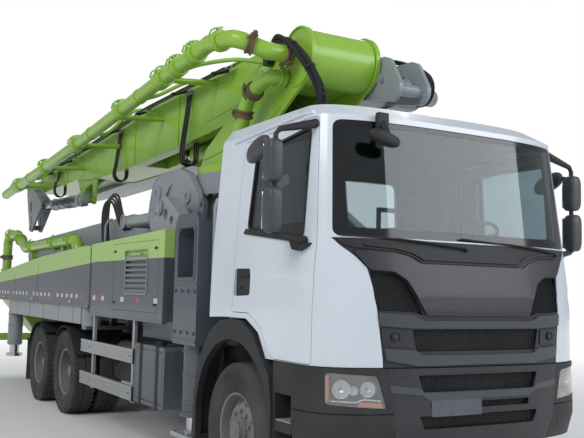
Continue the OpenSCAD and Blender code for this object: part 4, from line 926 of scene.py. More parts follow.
# headlamp insides behind a clear skin
def buildLamps():
    lamp = rounded(front["lamp"], 0.03)
    for tag, side in (("Right", -1), ("Left", 1)):
        here = [(y * side, z) for y, z in lamp]
        wall = [(cut, bumperSolid(0.09)), (keep, prism(grown(here, 0.003), "x", 5.3, 6.0)),
                (cut, prism(grown(here, -0.004), "x", 5.3, 6.0))]
        made = [carved("lampWall" + tag, bumperSolid(0.004), wall, "plastic", "truck"),
                carved("lampTray" + tag, bumperSolid(0.085), [(cut, bumperSolid(0.092)),
                       (keep, prism(grown(here, 0.002), "x", 5.3, 6.0))], "barGrey", "truck"),
                carved("lampSkin" + tag, bumperSolid(0.002), [(cut, bumperSolid(0.006)),
                       (keep, prism(grown(here, -0.002), "x", 5.3, 6.0))], "lampGlass", "truck")]
        bowls, bulbs = Shape(), Shape()
        for y, z, size in ((1.035, 0.965, 1.0), (0.868, 0.965, 0.85), (0.955, 0.955, 0.5)):
            x = frontOf(y, z, cab["bumper"]) - 0.098
            profile = [(0.008, 0.0), (0.03, 0.008), (0.046, 0.024), (0.056, 0.05), (0.060, 0.05), (0.050, 0.02),
                       (0.03, -0.002), (0.008, -0.008)]
            bowls.turned([(r * size, h * size) for r, h in profile], (x, y * side, z), (1, 0.35 * side, 0.0), steps=36)
            bulbs.turned([(0.0, -0.004), (0.012, -0.004), (0.014, 0.02), (0.008, 0.03), (0.0, 0.032)],
                         (x, y * side, z), (1, 0.35 * side, 0.0), steps=20)
        made.append(bowls.make("lampBowls" + tag, ["reflector"], "truck"))
        made.append(bulbs.make("lampBulbs" + tag, ["lampGlass"], "truck"))
        guide = [(1.115, 0.892), (0.98, 0.884), (0.93, 0.905), (0.86, 0.898), (0.815, 0.895)]
        made.append(Shape().tube([(frontOf(y, z, cab["bumper"]) - 0.018, y * side, z) for y, z in guide], 0.006).make(
            "lampGuide" + tag, ["reflector"], "truck"))
        for part, outline in (("Low", [(0.80, 0.848), (0.97, 0.858), (0.945, 0.888), (0.822, 0.884)]),
                              ("End", [(1.128, 0.885), (1.148, 0.887), (1.148, 1.06), (1.128, 1.058)])):
            shape = [(y * side, z) for y, z in outline]
            made.append(carved("lamp" + part + "Marker" + tag, bumperSolid(0.0075), [
                (cut, bumperSolid(0.02)), (keep, prism(shape, "x", 5.3, 6.0))], "orange", "truck", bevel=0.002))
        # rear lamps on the bar under the hopper
        rear = Shape()
        for i, (low, high) in enumerate(((0.87, 0.95), (0.955, 1.06), (1.065, 1.16))):
            rear.box((-5.072, low * side, 0.655) if side > 0 else (-5.072, -high, 0.655),
                     (-5.045, high * side, 0.745) if side > 0 else (-5.045, -low, 0.745), 1 if i == 1 else 0)
        made.append(rear.make("rearLamp" + tag, ["red", "orange"], "truck", bevel=0.004))
        made.append(Shape().box((-5.055, min(0.86 * side, 1.17 * side), 0.646), (-5.04, max(0.86 * side, 1.17 * side), 0.754))
                    .make("rearLampCase" + tag, ["plastic"], "truck", bevel=0.003))
        for thing in made:
            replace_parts(thing, "lamps")


# door furniture: window seals, sill strips, handles, and the mirrors that the doors carry
def buildDoors():
    for tag, side in (("Right", -1), ("Left", 1)):
        body = "door_" + tag.lower()
        rubber = [(cut, cabSolid(0.012)), (keep, windowCut(side, 0.010)), (cut, windowCut(side, -0.009))]
        carved("windowSeal" + tag, cabSolid(-0.0015), rubber, "plastic", body)
        strip = [(4.50, 2.070), (5.38, 1.968), (5.38, 1.925), (4.47, 2.032)]
        low, high = sorted((1.0 * side, 1.4 * side))
        carved("windowSill" + tag, cabSolid(-0.014), [(cut, cabSolid(0.004)), (keep, prism(strip, "y", low, high))],
               "plastic", body, bevel=0.004)
        handle = Shape().tube([(4.385, 1.196 * side, 1.712), (4.40, 1.213 * side, 1.712), (4.56, 1.213 * side, 1.718),
                               (4.575, 1.196 * side, 1.718)], 0.011, sides=10)
        handle.box((4.345, min(1.192 * side, 1.197 * side), 1.553), (4.60, max(1.192 * side, 1.197 * side), 1.762))
        handle.turned([(0.0, 0.0), (0.012, 0.0), (0.012, 0.008), (0.0, 0.009)], (4.43, 1.197 * side, 1.62), (0, side, 0),
                      steps=24)
        handle.make("doorHandle" + tag, ["plastic"], body, bevel=0.002)
        # two-part mirror on its pole, with the oval one behind it
        upper = pillow((5.345, 1.443 * side, 2.475), (0.066, 0.057, 0.148), 4.5, rows=18)
        lower = pillow((5.352, 1.443 * side, 2.14), (0.064, 0.057, 0.155), 4.5, rows=18)
        oval = pillow((5.10, 1.43 * side, 2.585), (0.16, 0.042, 0.075), 2.4, turn=Matrix.Rotation(math.radians(-18), 3, "Y"))
        parts = [upper.make("mirrorUpper" + tag, ["shell"], body), lower.make("mirrorLower" + tag, ["shell"], body),
                 oval.make("mirrorOval" + tag, ["shell"], body)]
        panes = Shape()
        for z, tall in ((2.475, 0.12), (2.14, 0.128)):
            panes.box((5.276, min(1.40 * side, 1.486 * side), z - tall), (5.284, max(1.40 * side, 1.486 * side), z + tall))
        parts.append(panes.make("mirrorPanes" + tag, ["mirrorGlass"], body, bevel=0.003))
        frameTubes = Shape()
        frameTubes.tube([(5.35, 1.43 * side, 1.975), (5.35, 1.43 * side, 2.66), (5.355, 1.40 * side, 2.695),
                         (5.36, 1.30 * side, 2.72), (5.37, 1.118 * side, 2.765)], [0.018, 0.018, 0.02, 0.026, 0.034])
        frameTubes.tube([(5.35, 1.43 * side, 2.0), (5.36, 1.40 * side, 1.972), (5.37, 1.30 * side, 1.955),
                         (5.385, 1.19 * side, 1.94)], [0.018, 0.02, 0.026, 0.034])
        frameTubes.tube([(5.345, 1.43 * side, 2.60), (5.26, 1.44 * side, 2.615), (5.17, 1.44 * side, 2.60)], 0.016)
        foot = [(5.22, 1.955), (5.455, 1.925), (5.43, 1.90), (5.36, 1.872), (5.27, 1.885)]
        parts.append(frameTubes.make("mirrorFrame" + tag, ["plastic"], body))
        parts.append(carved("mirrorFoot" + tag, cabSolid(-0.035), [(cut, cabSolid(0.003)), (keep, prism(foot, "y", low, high))],
                            "plastic", body, bevel=0.008))
        for thing in parts:
            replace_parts(thing, "mirror_" + tag.lower())
    for side in (-1, 1):
        rail = Shape().tube([(4.16, 1.150 * side, 2.795), (4.6, 1.150 * side, 2.822), (5.2, 1.141 * side, 2.848),
                             (5.33, 1.120 * side, 2.85)], 0.013, sides=10, flat=1.2)
        rail.make("dripRail" + ("Right" if side < 0 else "Left"), ["cabWhite"], "truck")


buildFront()
buildLamps()
buildDoors()
print("front, lamps and doors made")


# tyres: grooved outlines turned about the axle, with blocks on the driven ones
wheel = dict(radius=0.52, frontWidth=0.300, rearWidth=0.286, frontPlace=(4.4, 1.065), rearPlaces=(-0.5, -1.85),
             rearFaces=(0.741, 1.077), steps=96, blockRows=((0.108, 0.054), (0.038, 0.060)), blocks=46)


def tyreOutline(width, tread, grooves):
    half = width / 2
    side = [(0.290, half - 0.028), (0.300, half - 0.018), (0.330, half - 0.009), (0.345, half - 0.006), (0.350, half - 0.003),
            (0.358, half - 0.003), (0.362, half - 0.005), (0.395, half - 0.0005), (0.425, half), (0.440, half - 0.001),
            (0.443, half + 0.001), (0.449, half + 0.001), (0.452, half - 0.002), (0.475, half - 0.007), (0.496, half - 0.016),
            (0.509, half - 0.028), (tread, half - 0.042)]
    middle = []
    for at in grooves:
        middle += [(tread, at + 0.006), (tread - 0.013, at + 0.004), (tread - 0.013, at - 0.004), (tread, at - 0.006)]
    outer = [(r, -h) for r, h in reversed(side)]
    return side + middle + outer + [(0.282, -half + 0.05), (0.282, half - 0.05)]


def buildWheels():
    for tag, side in (("Right", -1), ("Left", 1)):
        x, y = wheel["frontPlace"]
        grooves = (0.068, 0.023, -0.023, -0.068)
        tyre = Shape().turned(tyreOutline(wheel["frontWidth"], wheel["radius"], grooves), (x, y * side, 0.52), (0, 1, 0),
                              steps=wheel["steps"])
        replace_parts(tyre.make("frontTyre" + tag, ["rubber"], "front_wheel_" + tag.lower(), smooth=40),
                    "front_tyre_" + tag.lower())
        notch, places = Shape().box((-0.008, -0.013, -0.011), (0.004, 0.013, 0.011)), []
        for i in range(72):
            a = 2 * math.pi * i / 72
            for h in (-0.100, 0.100):
                places.append(((x + 0.517 * math.cos(a), y * side + h, 0.52 + 0.517 * math.sin(a)), (0.2, -a, 0), (0.6, 1, 1)))
        places = [p for p in places if 0.52 + 0.5195 >= p[0][2] >= 0.0]
        repeated("frontBlocks" + tag, notch, places, "rubber", "front_wheel_" + tag.lower())
        bolts = [((x + 0.055 * math.cos(a), 1.206 * side, 0.52 + 0.055 * math.sin(a)), (0, 0, 0), (1, 1, 1))
                 for a in (2 * math.pi * i / 8 for i in range(8))]
        nut = Shape().turned([(0.0, -0.004), (0.0095, -0.004), (0.0095, 0.004), (0.0, 0.004)], (0, 0, 0), (0, 1, 0), steps=6)
        repeated("frontHubBolts" + tag, nut, bolts, "rim", "front_wheel_" + tag.lower())
        lock = Shape().turned([(0.272, -0.012), (0.286, -0.014), (0.293, 0.0), (0.289, 0.010), (0.276, 0.006)],
                              (x, 1.183 * side, 0.52), (0, side, 0), steps=64)
        lock.turned([(0.0, 0.0), (0.030, 0.0), (0.028, 0.008), (0.0, 0.010)], (x, 1.207 * side, 0.52), (0, side, 0), steps=32)
        lock.tube([(x + 0.16, 1.150 * side, 0.60), (x + 0.20, 1.165 * side, 0.622), (x + 0.235, 1.178 * side, 0.64)], 0.005)
        lock.make("frontRimEdge" + tag, ["rim"], "front_wheel_" + tag.lower(), bevel=0.001)
        for place, x in zip(("mid", "rear"), wheel["rearPlaces"]):
            body = "%s_wheels_%s" % (place, tag.lower())
            tyres, places = Shape(), []
            block = Shape().box((-0.034, -0.5, -0.014), (0.0, 0.5, 0.014))
            for y in wheel["rearFaces"]:
                tyres.turned(tyreOutline(wheel["rearWidth"], 0.510, (0.0,)), (x, y * side, 0.52), (0, 1, 0), steps=64)
                for k, (row, wide) in enumerate(wheel["blockRows"]):
                    for i in range(wheel["blocks"]):
                        a = 2 * math.pi * (i + 0.5 * k) / wheel["blocks"]
                        for h in (-row, row):
                            lean = 0.22 if h > 0 else -0.22
                            places.append(((x + 0.5193 * math.cos(a), y * side + h, 0.52 + 0.5193 * math.sin(a)),
                                           (lean * k, -a, 0), (1, wide, 1 if k else 1.15)))
            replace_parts(tyres.make(place + "Tyres" + tag, ["rubber"], body, smooth=40), place + "_tyres_" + tag.lower())
            repeated(place + "Blocks" + tag, block, places, "rubber", body)
            hub = Shape().turned([(0.0, 0.0), (0.098, 0.0), (0.098, 0.012), (0.070, 0.022), (0.062, 0.045), (0.0, 0.048)],
                                 (x, 1.098 * side, 0.52), (0, side, 0), steps=40)
            hub.turned([(0.262, -0.012), (0.282, -0.014), (0.291, 0.0), (0.287, 0.010), (0.270, 0.006)],
                       (x, 1.186 * side, 0.52), (0, side, 0), steps=64)
            hub.make(place + "Hub" + tag, ["rim"], body, bevel=0.002)
            bolts = [((x + 0.084 * math.cos(a), 1.118 * side, 0.52 + 0.084 * math.sin(a)), (0, 0, 0), (1, 1, 1))
                     for a in (2 * math.pi * i / 12 for i in range(12))]
            repeated(place + "HubBolts" + tag, nut, bolts, "rim", body)


# a smooth line through a few points
def smoothLine(points, steps=8):
    points = [Vector(p) for p in points]
    padded = [points[0] * 2 - points[1]] + points + [points[-1] * 2 - points[-2]]
    line = []
    for a, b, c, d in zip(padded, padded[1:], padded[2:], padded[3:]):
        for i in range(steps):
            t = i / steps
            line.append(0.5 * ((2 * b) + (c - a) * t + (2 * a - 5 * b + 4 * c - d) * t * t + (3 * b - a - 3 * c + d) * t ** 3))
    return line + [points[-1]]


# hoses laid together round one line
def strands(points, count, spread, turns=0.0, start=0.0):
    line = evened(smoothLine(points, 12), 25)
    made = []
    for i in range(count):
        offsets = []
        for k, p in enumerate(line):
            along = (line[min(k + 1, 24)] - line[max(k - 1, 0)]).normalized()
            across = (Vector((0, 1, 0)) - along * along.y).normalized()
            a = start + math.tau * (i / count + turns * k / 24)
            offsets.append(p + (across * math.cos(a) + along.cross(across) * math.sin(a)) * spread)
        made.append(offsets)
    return made


# the same line with its points evenly apart
def evened(line, count):
    marks = [0.0]
    for a, b in zip(line, line[1:]):
        marks.append(marks[-1] + (b - a).length)
    made, k = [], 0
    for i in range(count):
        wanted = marks[-1] * i / (count - 1)
        while k < len(line) - 2 and marks[k + 1] < wanted:
            k += 1
        made.append(line[k].lerp(line[k + 1], (wanted - marks[k]) / (marks[k + 1] - marks[k])))
    return made


# a hose between two fittings on the same body
def hoseRun(name, points, diameter, body, kind="hose", count=37):
    line = evened(smoothLine(points, 12), count)
    made = Shape().tube(line, diameter / 2, sides=12).make(name, [kind], body)
    return line


boom = dict(
    top=[(-5.25, 3.58), (-4.0, 3.65), (-3.28, 3.69), (-0.97, 3.82), (0.56, 3.90), (2.8, 3.90), (3.99, 3.86)],
    bottom=[(-5.25, 3.29), (-4.43, 3.30), (-3.05, 3.31), (-1.96, 3.21), (-0.27, 3.21), (1.06, 3.25), (2.14, 3.29)],
    right=-0.450, left=0.170,
    pipe=[(-5.4, 3.196), (-0.78, 3.48), (2.32, 3.725), (3.46, 3.81)],
    clamps=(-4.21, -2.45, -0.78, 1.05, 2.32, 2.72, 3.14, 3.66),
    dropTurn=0.092, dropHose=0.020)


def heightOn(line, x):
    for (x1, z1), (x2, z2) in zip(line, line[1:]):
        if x <= x2:
            return z1 + (z2 - z1) * (x - x1) / (x2 - x1)
    return line[-1][1]


# a two-half pipe clamp with its bolt and lever
def clampShape(shape, centre, axis, radius=0.075, up=(0, 0, 1)):
    axis, up, centre = Vector(axis).normalized(), Vector(up).normalized(), Vector(centre)
    profile = [(0.000, -0.034), (0.022, -0.034), (0.024, -0.016), (0.014, -0.011), (0.014, 0.011), (0.024, 0.016),
               (0.022, 0.034), (0.000, 0.034)]
    shape.turned([(radius + r - 0.001, h) for r, h in profile], centre, axis, steps=36)
    up = (up - axis * up.dot(axis)).normalized()
    across = axis.cross(up)
    turn = Matrix((across, axis, up)).transposed().to_4x4()
    turn.translation = centre
    shape.box((-0.018, -0.022, radius + 0.008), (0.018, 0.022, radius + 0.046), turn=turn)
    shape.tube([centre + up * (radius + 0.040) + across * s for s in (-0.045, 0.0, 0.05)], 0.008, sides=8)
    shape.tube([centre + up * (radius + 0.036) + across * 0.04, centre + up * (radius + 0.03) + across * 0.065 - axis * 0.02,
                centre + up * (radius - 0.02) + across * 0.085 - axis * 0.05], 0.009, sides=8)


def buildBoom():
    y0, y1 = boom["right"], boom["left"]
    # flange strips that stand out along the box's upper and lower edges
    strips = Shape()
    for line, lift in ((boom["top"][:-1], 0.006), (boom["bottom"], -0.006)):
        for side, edge in ((-1, y0), (1, y1)):
            a, b = edge - 0.004 * side, edge + 0.020 * side
            rings = []
            for x, z in line:
                rings.append([(x, a, z + lift - 0.007), (x, b, z + lift - 0.007), (x, b, z + lift + 0.007),
                              (x, a, z + lift + 0.007)])
            strips.rings(rings)
    strips.make("armOneFlanges", ["lime"], "arm_one", bevel=0.002)
    # doubler plates and stiffeners on the right flank
    plates = Shape()
    for x1, x2, drop1, drop2 in ((-5.1, -4.45, 0.05, 0.05), (-2.95, -1.95, 0.30, 0.04), (1.9, 2.9, 0.06, 0.12)):
        outline = [(x1, heightOn(boom["bottom"], x1) + drop2), (x2, heightOn(boom["bottom"], min(x2, 2.14)) + drop2 + 0.06),
                   (x2 - 0.08, heightOn(boom["top"], x2) - drop1), (x1 + 0.08, heightOn(boom["top"], x1) - drop1)]
        outline = rounded(outline, 0.06)
        plates.rings([[(x, y0 - 0.008, z) for x, z in outline], [(x, y0 + 0.004, z) for x, z in outline]])
    for x in (-3.6, -0.3, 1.2):
        low, high = heightOn(boom["bottom"], x), heightOn(boom["top"], x)
        plates.box((x - 0.006, y0 - 0.014, low + 0.01), (x + 0.006, y0 + 0.002, high - 0.01))
    plates.make("armOnePlates", ["lime"], "arm_one", bevel=0.002)
    # pipe clamps, their saddles and the lime stays that reach to the arm's upper edge
    clamps, stays = Shape(), Shape()
    for x in boom["clamps"][:-1]:
        z = heightOn(boom["pipe"], x)
        slope = (heightOn(boom["pipe"], x + 0.02) - z) / 0.02
        for shift in (-0.068, 0.068) if x in (-4.21, -0.78, 2.32) else (-0.04, 0.04):
            clampShape(clamps, (x + shift, -1.10, z + slope * shift), (1, 0, slope), up=(0, -0.25, 1))
    clampShape(clamps, (3.66, -1.082, 3.787), (0.99, 0.09, -0.11), up=(0, -0.3, 1))
    clampShape(clamps, (-5.365, -0.932, 3.353), (-0.15, -0.72, -0.68), up=(-1, 0, 0.2))
    clamps.make("pipeClamps", ["lime"], "arm_one", bevel=0.0015)
    rusty = Shape()
    clampShape(rusty, (3.955, -0.93, 3.7125), (0.34, 0.88, -0.32), up=(0.5, -0.2, 0.9))
    clampShape(rusty, (4.0, -0.60, 3.665), (0, 1, 0), up=(0.5, 0, -0.8))
    rusty.make("rustyClamps", ["rust"], "arm_one", bevel=0.0015)
    for x in (-3.4, -0.1, 1.65, 2.75):
        z, edge = heightOn(boom["pipe"], x), heightOn(boom["top"], min(x + 0.5, 3.2))
        stays.tube(smoothLine([(x, -1.04, z - 0.02), (x + 0.15, -0.92, z + 0.02), (x + 0.38, -0.68, edge - 0.08),
                               (x + 0.55, -0.44, edge - 0.11)], 4), 0.021, sides=10)
        stays.box((x + 0.47, y0 - 0.012, edge - 0.19), (x + 0.63, y0 + 0.004, edge - 0.05))
        stays.turned([(0.076, -0.02), (0.084, -0.02), (0.084, 0.02), (0.076, 0.02)], (x, -1.10, z), (1, 0, 0.07), steps=32)
    stays.make("pipeStays", ["lime"], "arm_one", bevel=0.002)
    # steel lines along the arm's upper right, held in clamp blocks
    for i, kind in enumerate(("hose", "pipeGrey", "hose", "pipeGrey", "hose")):
        y = -0.50 - 0.030 * i
        line = [(x, y, heightOn(boom["top"], x) - 0.035 - 0.012 * i) for x in (-4.9, -4.0, -3.28, -2.1, -0.97, 0.56, 1.7, 2.75)]
        Shape().tube(line, 0.0105, sides=10).make("armLine" + str(i + 1), [kind], "arm_one")
    blocks = [((x, -0.545, heightOn(boom["top"], x) - 0.060), (0.35, 0, 0), (1, 1, 1)) for x in (-4.6, -3.4, -2.2, -1.0, 0.2, 1.4, 2.5)]
    repeated("armLineClamps", Shape().box((-0.022, -0.095, -0.020), (0.022, 0.100, 0.020)), blocks, "plastic", "arm_one")
    # hoses from the steel lines down the flank and in under the arm
    fittings = Shape()
    for tag, x, low in (("Fore", 1.50, 2.99), ("Mid", -0.9, 3.06), ("Aft", -4.1, 3.12)):
        for i in range(3):
            at = x + 0.055 * i
            top, bottom = heightOn(boom["top"], at), heightOn(boom["bottom"], at)
            turn = boom["dropTurn"]
            points = [(at, -0.476, top - 0.085), (at, -0.480, top - 0.15),
                      (at, -0.500, top - 0.15 - (top - bottom) * 0.3), (at - 0.005, -0.527, bottom + 0.06),
                      (at - 0.01, -0.540, (bottom + low + turn) / 2 + 0.02)]
            for step in range(7):
                a = math.pi * step / 6
                points.append((at - 0.015 - 0.005 * step, -0.540 + turn * (1 - math.cos(a)), low + turn - turn * math.sin(a)))
            points.append((at - 0.05, -0.540 + 2 * turn, bottom + 0.004))
            hoseRun("hoseDrop%s%d" % (tag, i + 1), points, boom["dropHose"], "arm_one")
            fittings.box((at - 0.014, -0.492, top - 0.110), (at + 0.014, -0.449, top - 0.060))
    fittings.make("hoseDropFittings", ["pipeGrey"], "arm_one", bevel=0.002)
    # sleeved bundles over the nose
    near = [(3.55, -0.514, 3.735), (3.63, -0.540, 3.788), (3.73, -0.578, 3.826), (3.85, -0.607, 3.835),
            (3.975, -0.610, 3.795), (4.10, -0.600, 3.715), (4.215, -0.580, 3.61), (4.31, -0.545, 3.49),
            (4.365, -0.505, 3.365), (4.375, -0.475, 3.25), (4.335, -0.452, 3.145), (4.25, -0.435, 3.065),
            (4.13, -0.42, 3.02), (3.98, -0.41, 3.01), (3.80, -0.405, 3.035), (3.60, -0.412, 3.09), (3.42, -0.432, 3.14)]
    for i, line in enumerate(strands(near, 3, 0.026, turns=0.9, start=1.4)):
        hoseRun("noseHose" + str(i + 1), line, 0.044, "turret", kind="sleeve")
    far = [(3.46, 0.64, 3.715), (3.56, 0.637, 3.772), (3.68, 0.635, 3.815), (3.81, 0.635, 3.830), (3.94, 0.635, 3.805),
           (4.08, 0.635, 3.752), (4.22, 0.635, 3.69), (4.36, 0.635, 3.612), (4.447, 0.635, 3.535), (4.477, 0.636, 3.445),
           (4.44, 0.642, 3.362), (4.34, 0.662, 3.328), (4.22, 0.688, 3.340)]
    for i, line in enumerate(strands(far, 3, 0.0145, start=0.5)):
        hoseRun("noseHoseFar" + str(i + 1), line, 0.0235, "arm_three", kind="sleeve")
    ties = Shape()
    for at, way in (((3.85, -0.607, 3.835), (1, 0, -0.08)), ((4.10, -0.600, 3.715), (0.78, 0.06, -0.62)),
                    ((4.31, -0.545, 3.49), (0.5, 0.25, -0.83)), ((4.375, -0.475, 3.25), (-0.05, 0.2, -0.97)),
                    ((3.98, -0.41, 3.01), (-1, 0.05, 0.05))):
        ties.turned([(0.045, -0.007), (0.050, -0.007), (0.050, 0.007), (0.045, 0.007)], at, way, steps=32)
    ties.box((3.36, -0.482, 3.08), (3.45, -0.38, 3.20)).box((3.49, -0.568, 3.68), (3.575, -0.486, 3.775))
    ties.make("noseBundleTies", ["plastic"], "turret", bevel=0.002)
    # turret: ribs on the cheeks, root pin caps, ring bolts and the riser of the delivery line
    details = Shape()
    for x, z, r in ((4.0, 3.665, 0.105), (3.3, 3.06, 0.075)):
        for y, way in ((-0.490, -1), (0.212, 1)):
            details.turned([(0.0, -0.004), (r, -0.004), (r, 0.012), (r * 0.72, 0.018), (0.0, 0.018)], (x, y, z), (0, way, 0))
    for y, way in ((-0.488, -1), (0.208, 1)):
        ring = [(0.252, 0.0), (0.268, 0.0), (0.268, 0.012), (0.252, 0.012)]
        details.turned(ring, (4.0, y, 3.665), (0, way, 0), steps=72)
        rib = [(2.06, 2.98), (3.30, 3.09), (3.72, 3.26), (3.70, 3.285), (3.29, 3.115), (2.06, 3.005)]
        details.rings([[(x, y + 0.010 * way, z) for x, z in rib], [(x, y - 0.004 * way, z) for x, z in rib]])
    details.make("turretDetails", ["lime"], "turret", bevel=0.002)
    bolts = [((2.4 + 0.62 * math.cos(a), 0.62 * math.sin(a), 2.859), (0, 0, a), (1, 1, 1))
             for a in (2 * math.pi * i / 24 for i in range(24))]
    hexNut = Shape().turned([(0.0, 0.0), (0.017, 0.0), (0.017, 0.014), (0.012, 0.018), (0.0, 0.018)], (0, 0, 0), (0, 0, 1), steps=6)
    repeated("ringBolts", hexNut, bolts, "pipeGrey", "turret")
    riser = Shape().tube(smoothLine([(3.80, -0.48, 3.505), (3.80, -0.58, 3.505), (3.74, -0.655, 3.49), (3.60, -0.67, 3.445),
                                     (3.46, -0.67, 3.39), (3.365, -0.67, 3.30), (3.32, -0.67, 3.19), (3.24, -0.66, 3.09),
                                     (3.10, -0.62, 3.02), (2.98, -0.55, 3.00), (2.95, -0.48, 3.00)], 6), 0.068, sides=24)
    clampShape(riser, (3.80, -0.545, 3.505), (0, 1, 0), radius=0.068, up=(0, 0, 1))
    riser.make("turretRiser", ["lime"], "turret", bevel=0.001)
    rusty = Shape()
    clampShape(rusty, (3.53, -0.67, 3.418), (0.93, 0, 0.37), radius=0.068, up=(0, -1, 0.3))
    clampShape(rusty, (3.338, -0.67, 3.24), (0.35, 0, 0.93), radius=0.068, up=(-0.6, -0.8, 0))
    rusty.make("riserClamps", ["rust"], "turret", bevel=0.0015)
    # pins, rings and bosses at the knuckles
    knuckles = (("knuckleBossOne", "arm_one", -5.35, 3.42, 0.155, ((-0.450, -1), (0.170, 1)), "lime"),
                ("knuckleBossTwo", "arm_two", -5.35, 3.42, 0.165, ((0.580, 1),), "pipeGrey"),
                ("knuckleBossThree", "arm_three", 3.9, 3.54, 0.135, ((0.890, 1),), "pipeGrey"),
                ("knuckleBossFour", "arm_four", -4.7, 3.40, 0.105, ((0.932, 1),), "pipeGrey"))
    for name, body, x, z, r, faces, kind in knuckles:
        boss = Shape()
        for y, way in faces:
            boss.turned([(0.66 * r, -0.004), (r, -0.004), (r, 0.010), (r * 0.92, 0.014), (r * 0.72, 0.014), (r * 0.66, 0.008)],
                        (x, y, z), (0, way, 0), steps=48)
            for i in range(8):
                a = 2 * math.pi * i / 8
                boss.turned([(0.0, 0.0), (0.010, 0.0), (0.010, 0.010), (0.0, 0.011)],
                            (x + r * 0.82 * math.cos(a), y + 0.012 * way, z + r * 0.82 * math.sin(a)), (0, way, 0), steps=6)
        boss.make(name, [kind], body, bevel=0.0015)
    # delivery pipes of the outer arms, on top of them
    for name, body, y, points in (
            ("armTwoPipe", "arm_two", 0.405, [(-5.05, 3.55), (-4.85, 3.70), (-4.5, 3.735), (3.0, 3.80), (3.35, 3.79), (3.55, 3.68)]),
            ("armThreePipe", "arm_three", 0.75, [(3.62, 3.62), (3.42, 3.655), (-4.25, 3.505), (-4.42, 3.47), (-4.55, 3.42)])):
        shape = Shape().tube(smoothLine([(x, y, z) for x, z in points], 5), 0.0625 if body == "arm_two" else 0.05, sides=20)
        (x1, z1), (x2, z2) = points[2], points[3]
        if body == "arm_three":
            (x1, z1), (x2, z2) = points[1], points[2]
        for share in (0.12, 0.38, 0.64, 0.9):
            clampShape(shape, (x1 + (x2 - x1) * share, y, z1 + (z2 - z1) * share), (x2 - x1, 0, z2 - z1),
                       radius=0.0625 if body == "arm_two" else 0.05)
            x, z = x1 + (x2 - x1) * share, z1 + (z2 - z1) * share
            shape.box((x - 0.02, y - 0.03, z - 0.13), (x + 0.02, y + 0.03, z - 0.03))
        shape.make(name, ["lime"], body)
    # green end of the delivery pipe ahead of the front knuckle, closed by a blank flange
    start, end = Vector((3.94, 0.75, 3.508)), Vector((4.322, 0.75, 3.3925))
    way = (end - start).normalized()
    stub = Shape().turned([(0.0705, 0.0), (0.0765, 0.0), (0.0765, 0.39), (0.0705, 0.39)], start, way, steps=40)
    stub.turned([(0.0, 0.394), (0.0, 0.408), (0.060, 0.404), (0.078, 0.390), (0.078, 0.372), (0.070, 0.372)], start, way, steps=40)
    for at in (0.20, 0.235):
        stub.turned([(0.0755, at - 0.010), (0.086, at - 0.007), (0.086, at + 0.007), (0.0755, at + 0.010)], start, way, steps=40)
    stub.make("armThreeStub", ["lime"], "arm_three", bevel=0.002)
    # rams: end caps, gland rings, hard lines and steel bands
    ram = Vector((-2.0, -0.62, 2.88)), Vector((-4.31, -0.62, 2.96))
    way = (ram[1] - ram[0]).normalized()
    jacket = Shape()
    for at, r in ((0.10, 0.097), (1.60, 0.097), (1.67, 0.093)):
        jacket.turned([(0.087, -0.025), (r, -0.022), (r, 0.022), (0.087, 0.025)], ram[0] + way * at, way, steps=40)
    jacket.make("knuckleRamRings", ["pipeGrey"], "knuckle_barrel", bevel=0.002)
    bands = Shape()
    for at in (0.5, 0.62, 0.74, 0.86, 1.2):
        bands.turned([(0.087, -0.012), (0.093, -0.010), (0.093, 0.010), (0.087, 0.012)], ram[0] + way * at, way, steps=40)
    for offset in (-0.03, 0.0, 0.03):
        bands.tube([ram[0] + way * 0.2 + Vector((0, -0.100, offset)), ram[0] + way * 1.5 + Vector((0, -0.100, offset))], 0.009, sides=8)
    bands.make("knuckleRamLines", ["plastic"], "knuckle_barrel")
    lift = Vector((3.3, -0.14, 3.06)), Vector((0.8, -0.14, 3.20))
    way = (lift[1] - lift[0]).normalized()
    jacket = Shape()
    for at in (0.2, 2.08, 2.14):
        jacket.turned([(0.124, -0.03), (0.140, -0.026), (0.140, 0.026), (0.124, 0.03)], lift[0] + way * at, way, steps=40)
    jacket.make("liftRamRings", ["lime"], "lift_barrel", bevel=0.002)


buildWheels()
print("wheels made")
buildBoom()
print("boom dressed")


body = dict(side=1.25, tapeHeight=1.478, slats=7, slatX=(1.862, 2.468), slatZ=(1.560, 1.872), gapX=(0.545, 0.585))


# a box whose low and high y are mirrored to the right side when side is -1
def sideBox(shape, side, low, high):
    y1, y2 = sorted((low[1] * side, high[1] * side))
    shape.box((low[0], y1, low[2]), (high[0], y2, high[2]))


# a thin raised outline drawn on a side panel
def sideFrame(shape, side, low, high, wide=0.012, out=0.008, soft=0.025):
    outer = rounded([(low[0], low[1]), (high[0], low[1]), (high[0], high[1]), (low[0], high[1])], soft)
    inner = rounded([(low[0] + wide, low[1] + wide), (high[0] - wide, low[1] + wide), (high[0] - wide, high[1] - wide),
                     (low[0] + wide, high[1] - wide)], soft * 0.6)
    y = body["side"]
    ring = [[(x, (y + d) * side, z) for x, z in line] for line, d in
            ((outer, -0.003), (outer, out), (inner, out), (inner, -0.003))]
    shape.rings(ring, closed=True)


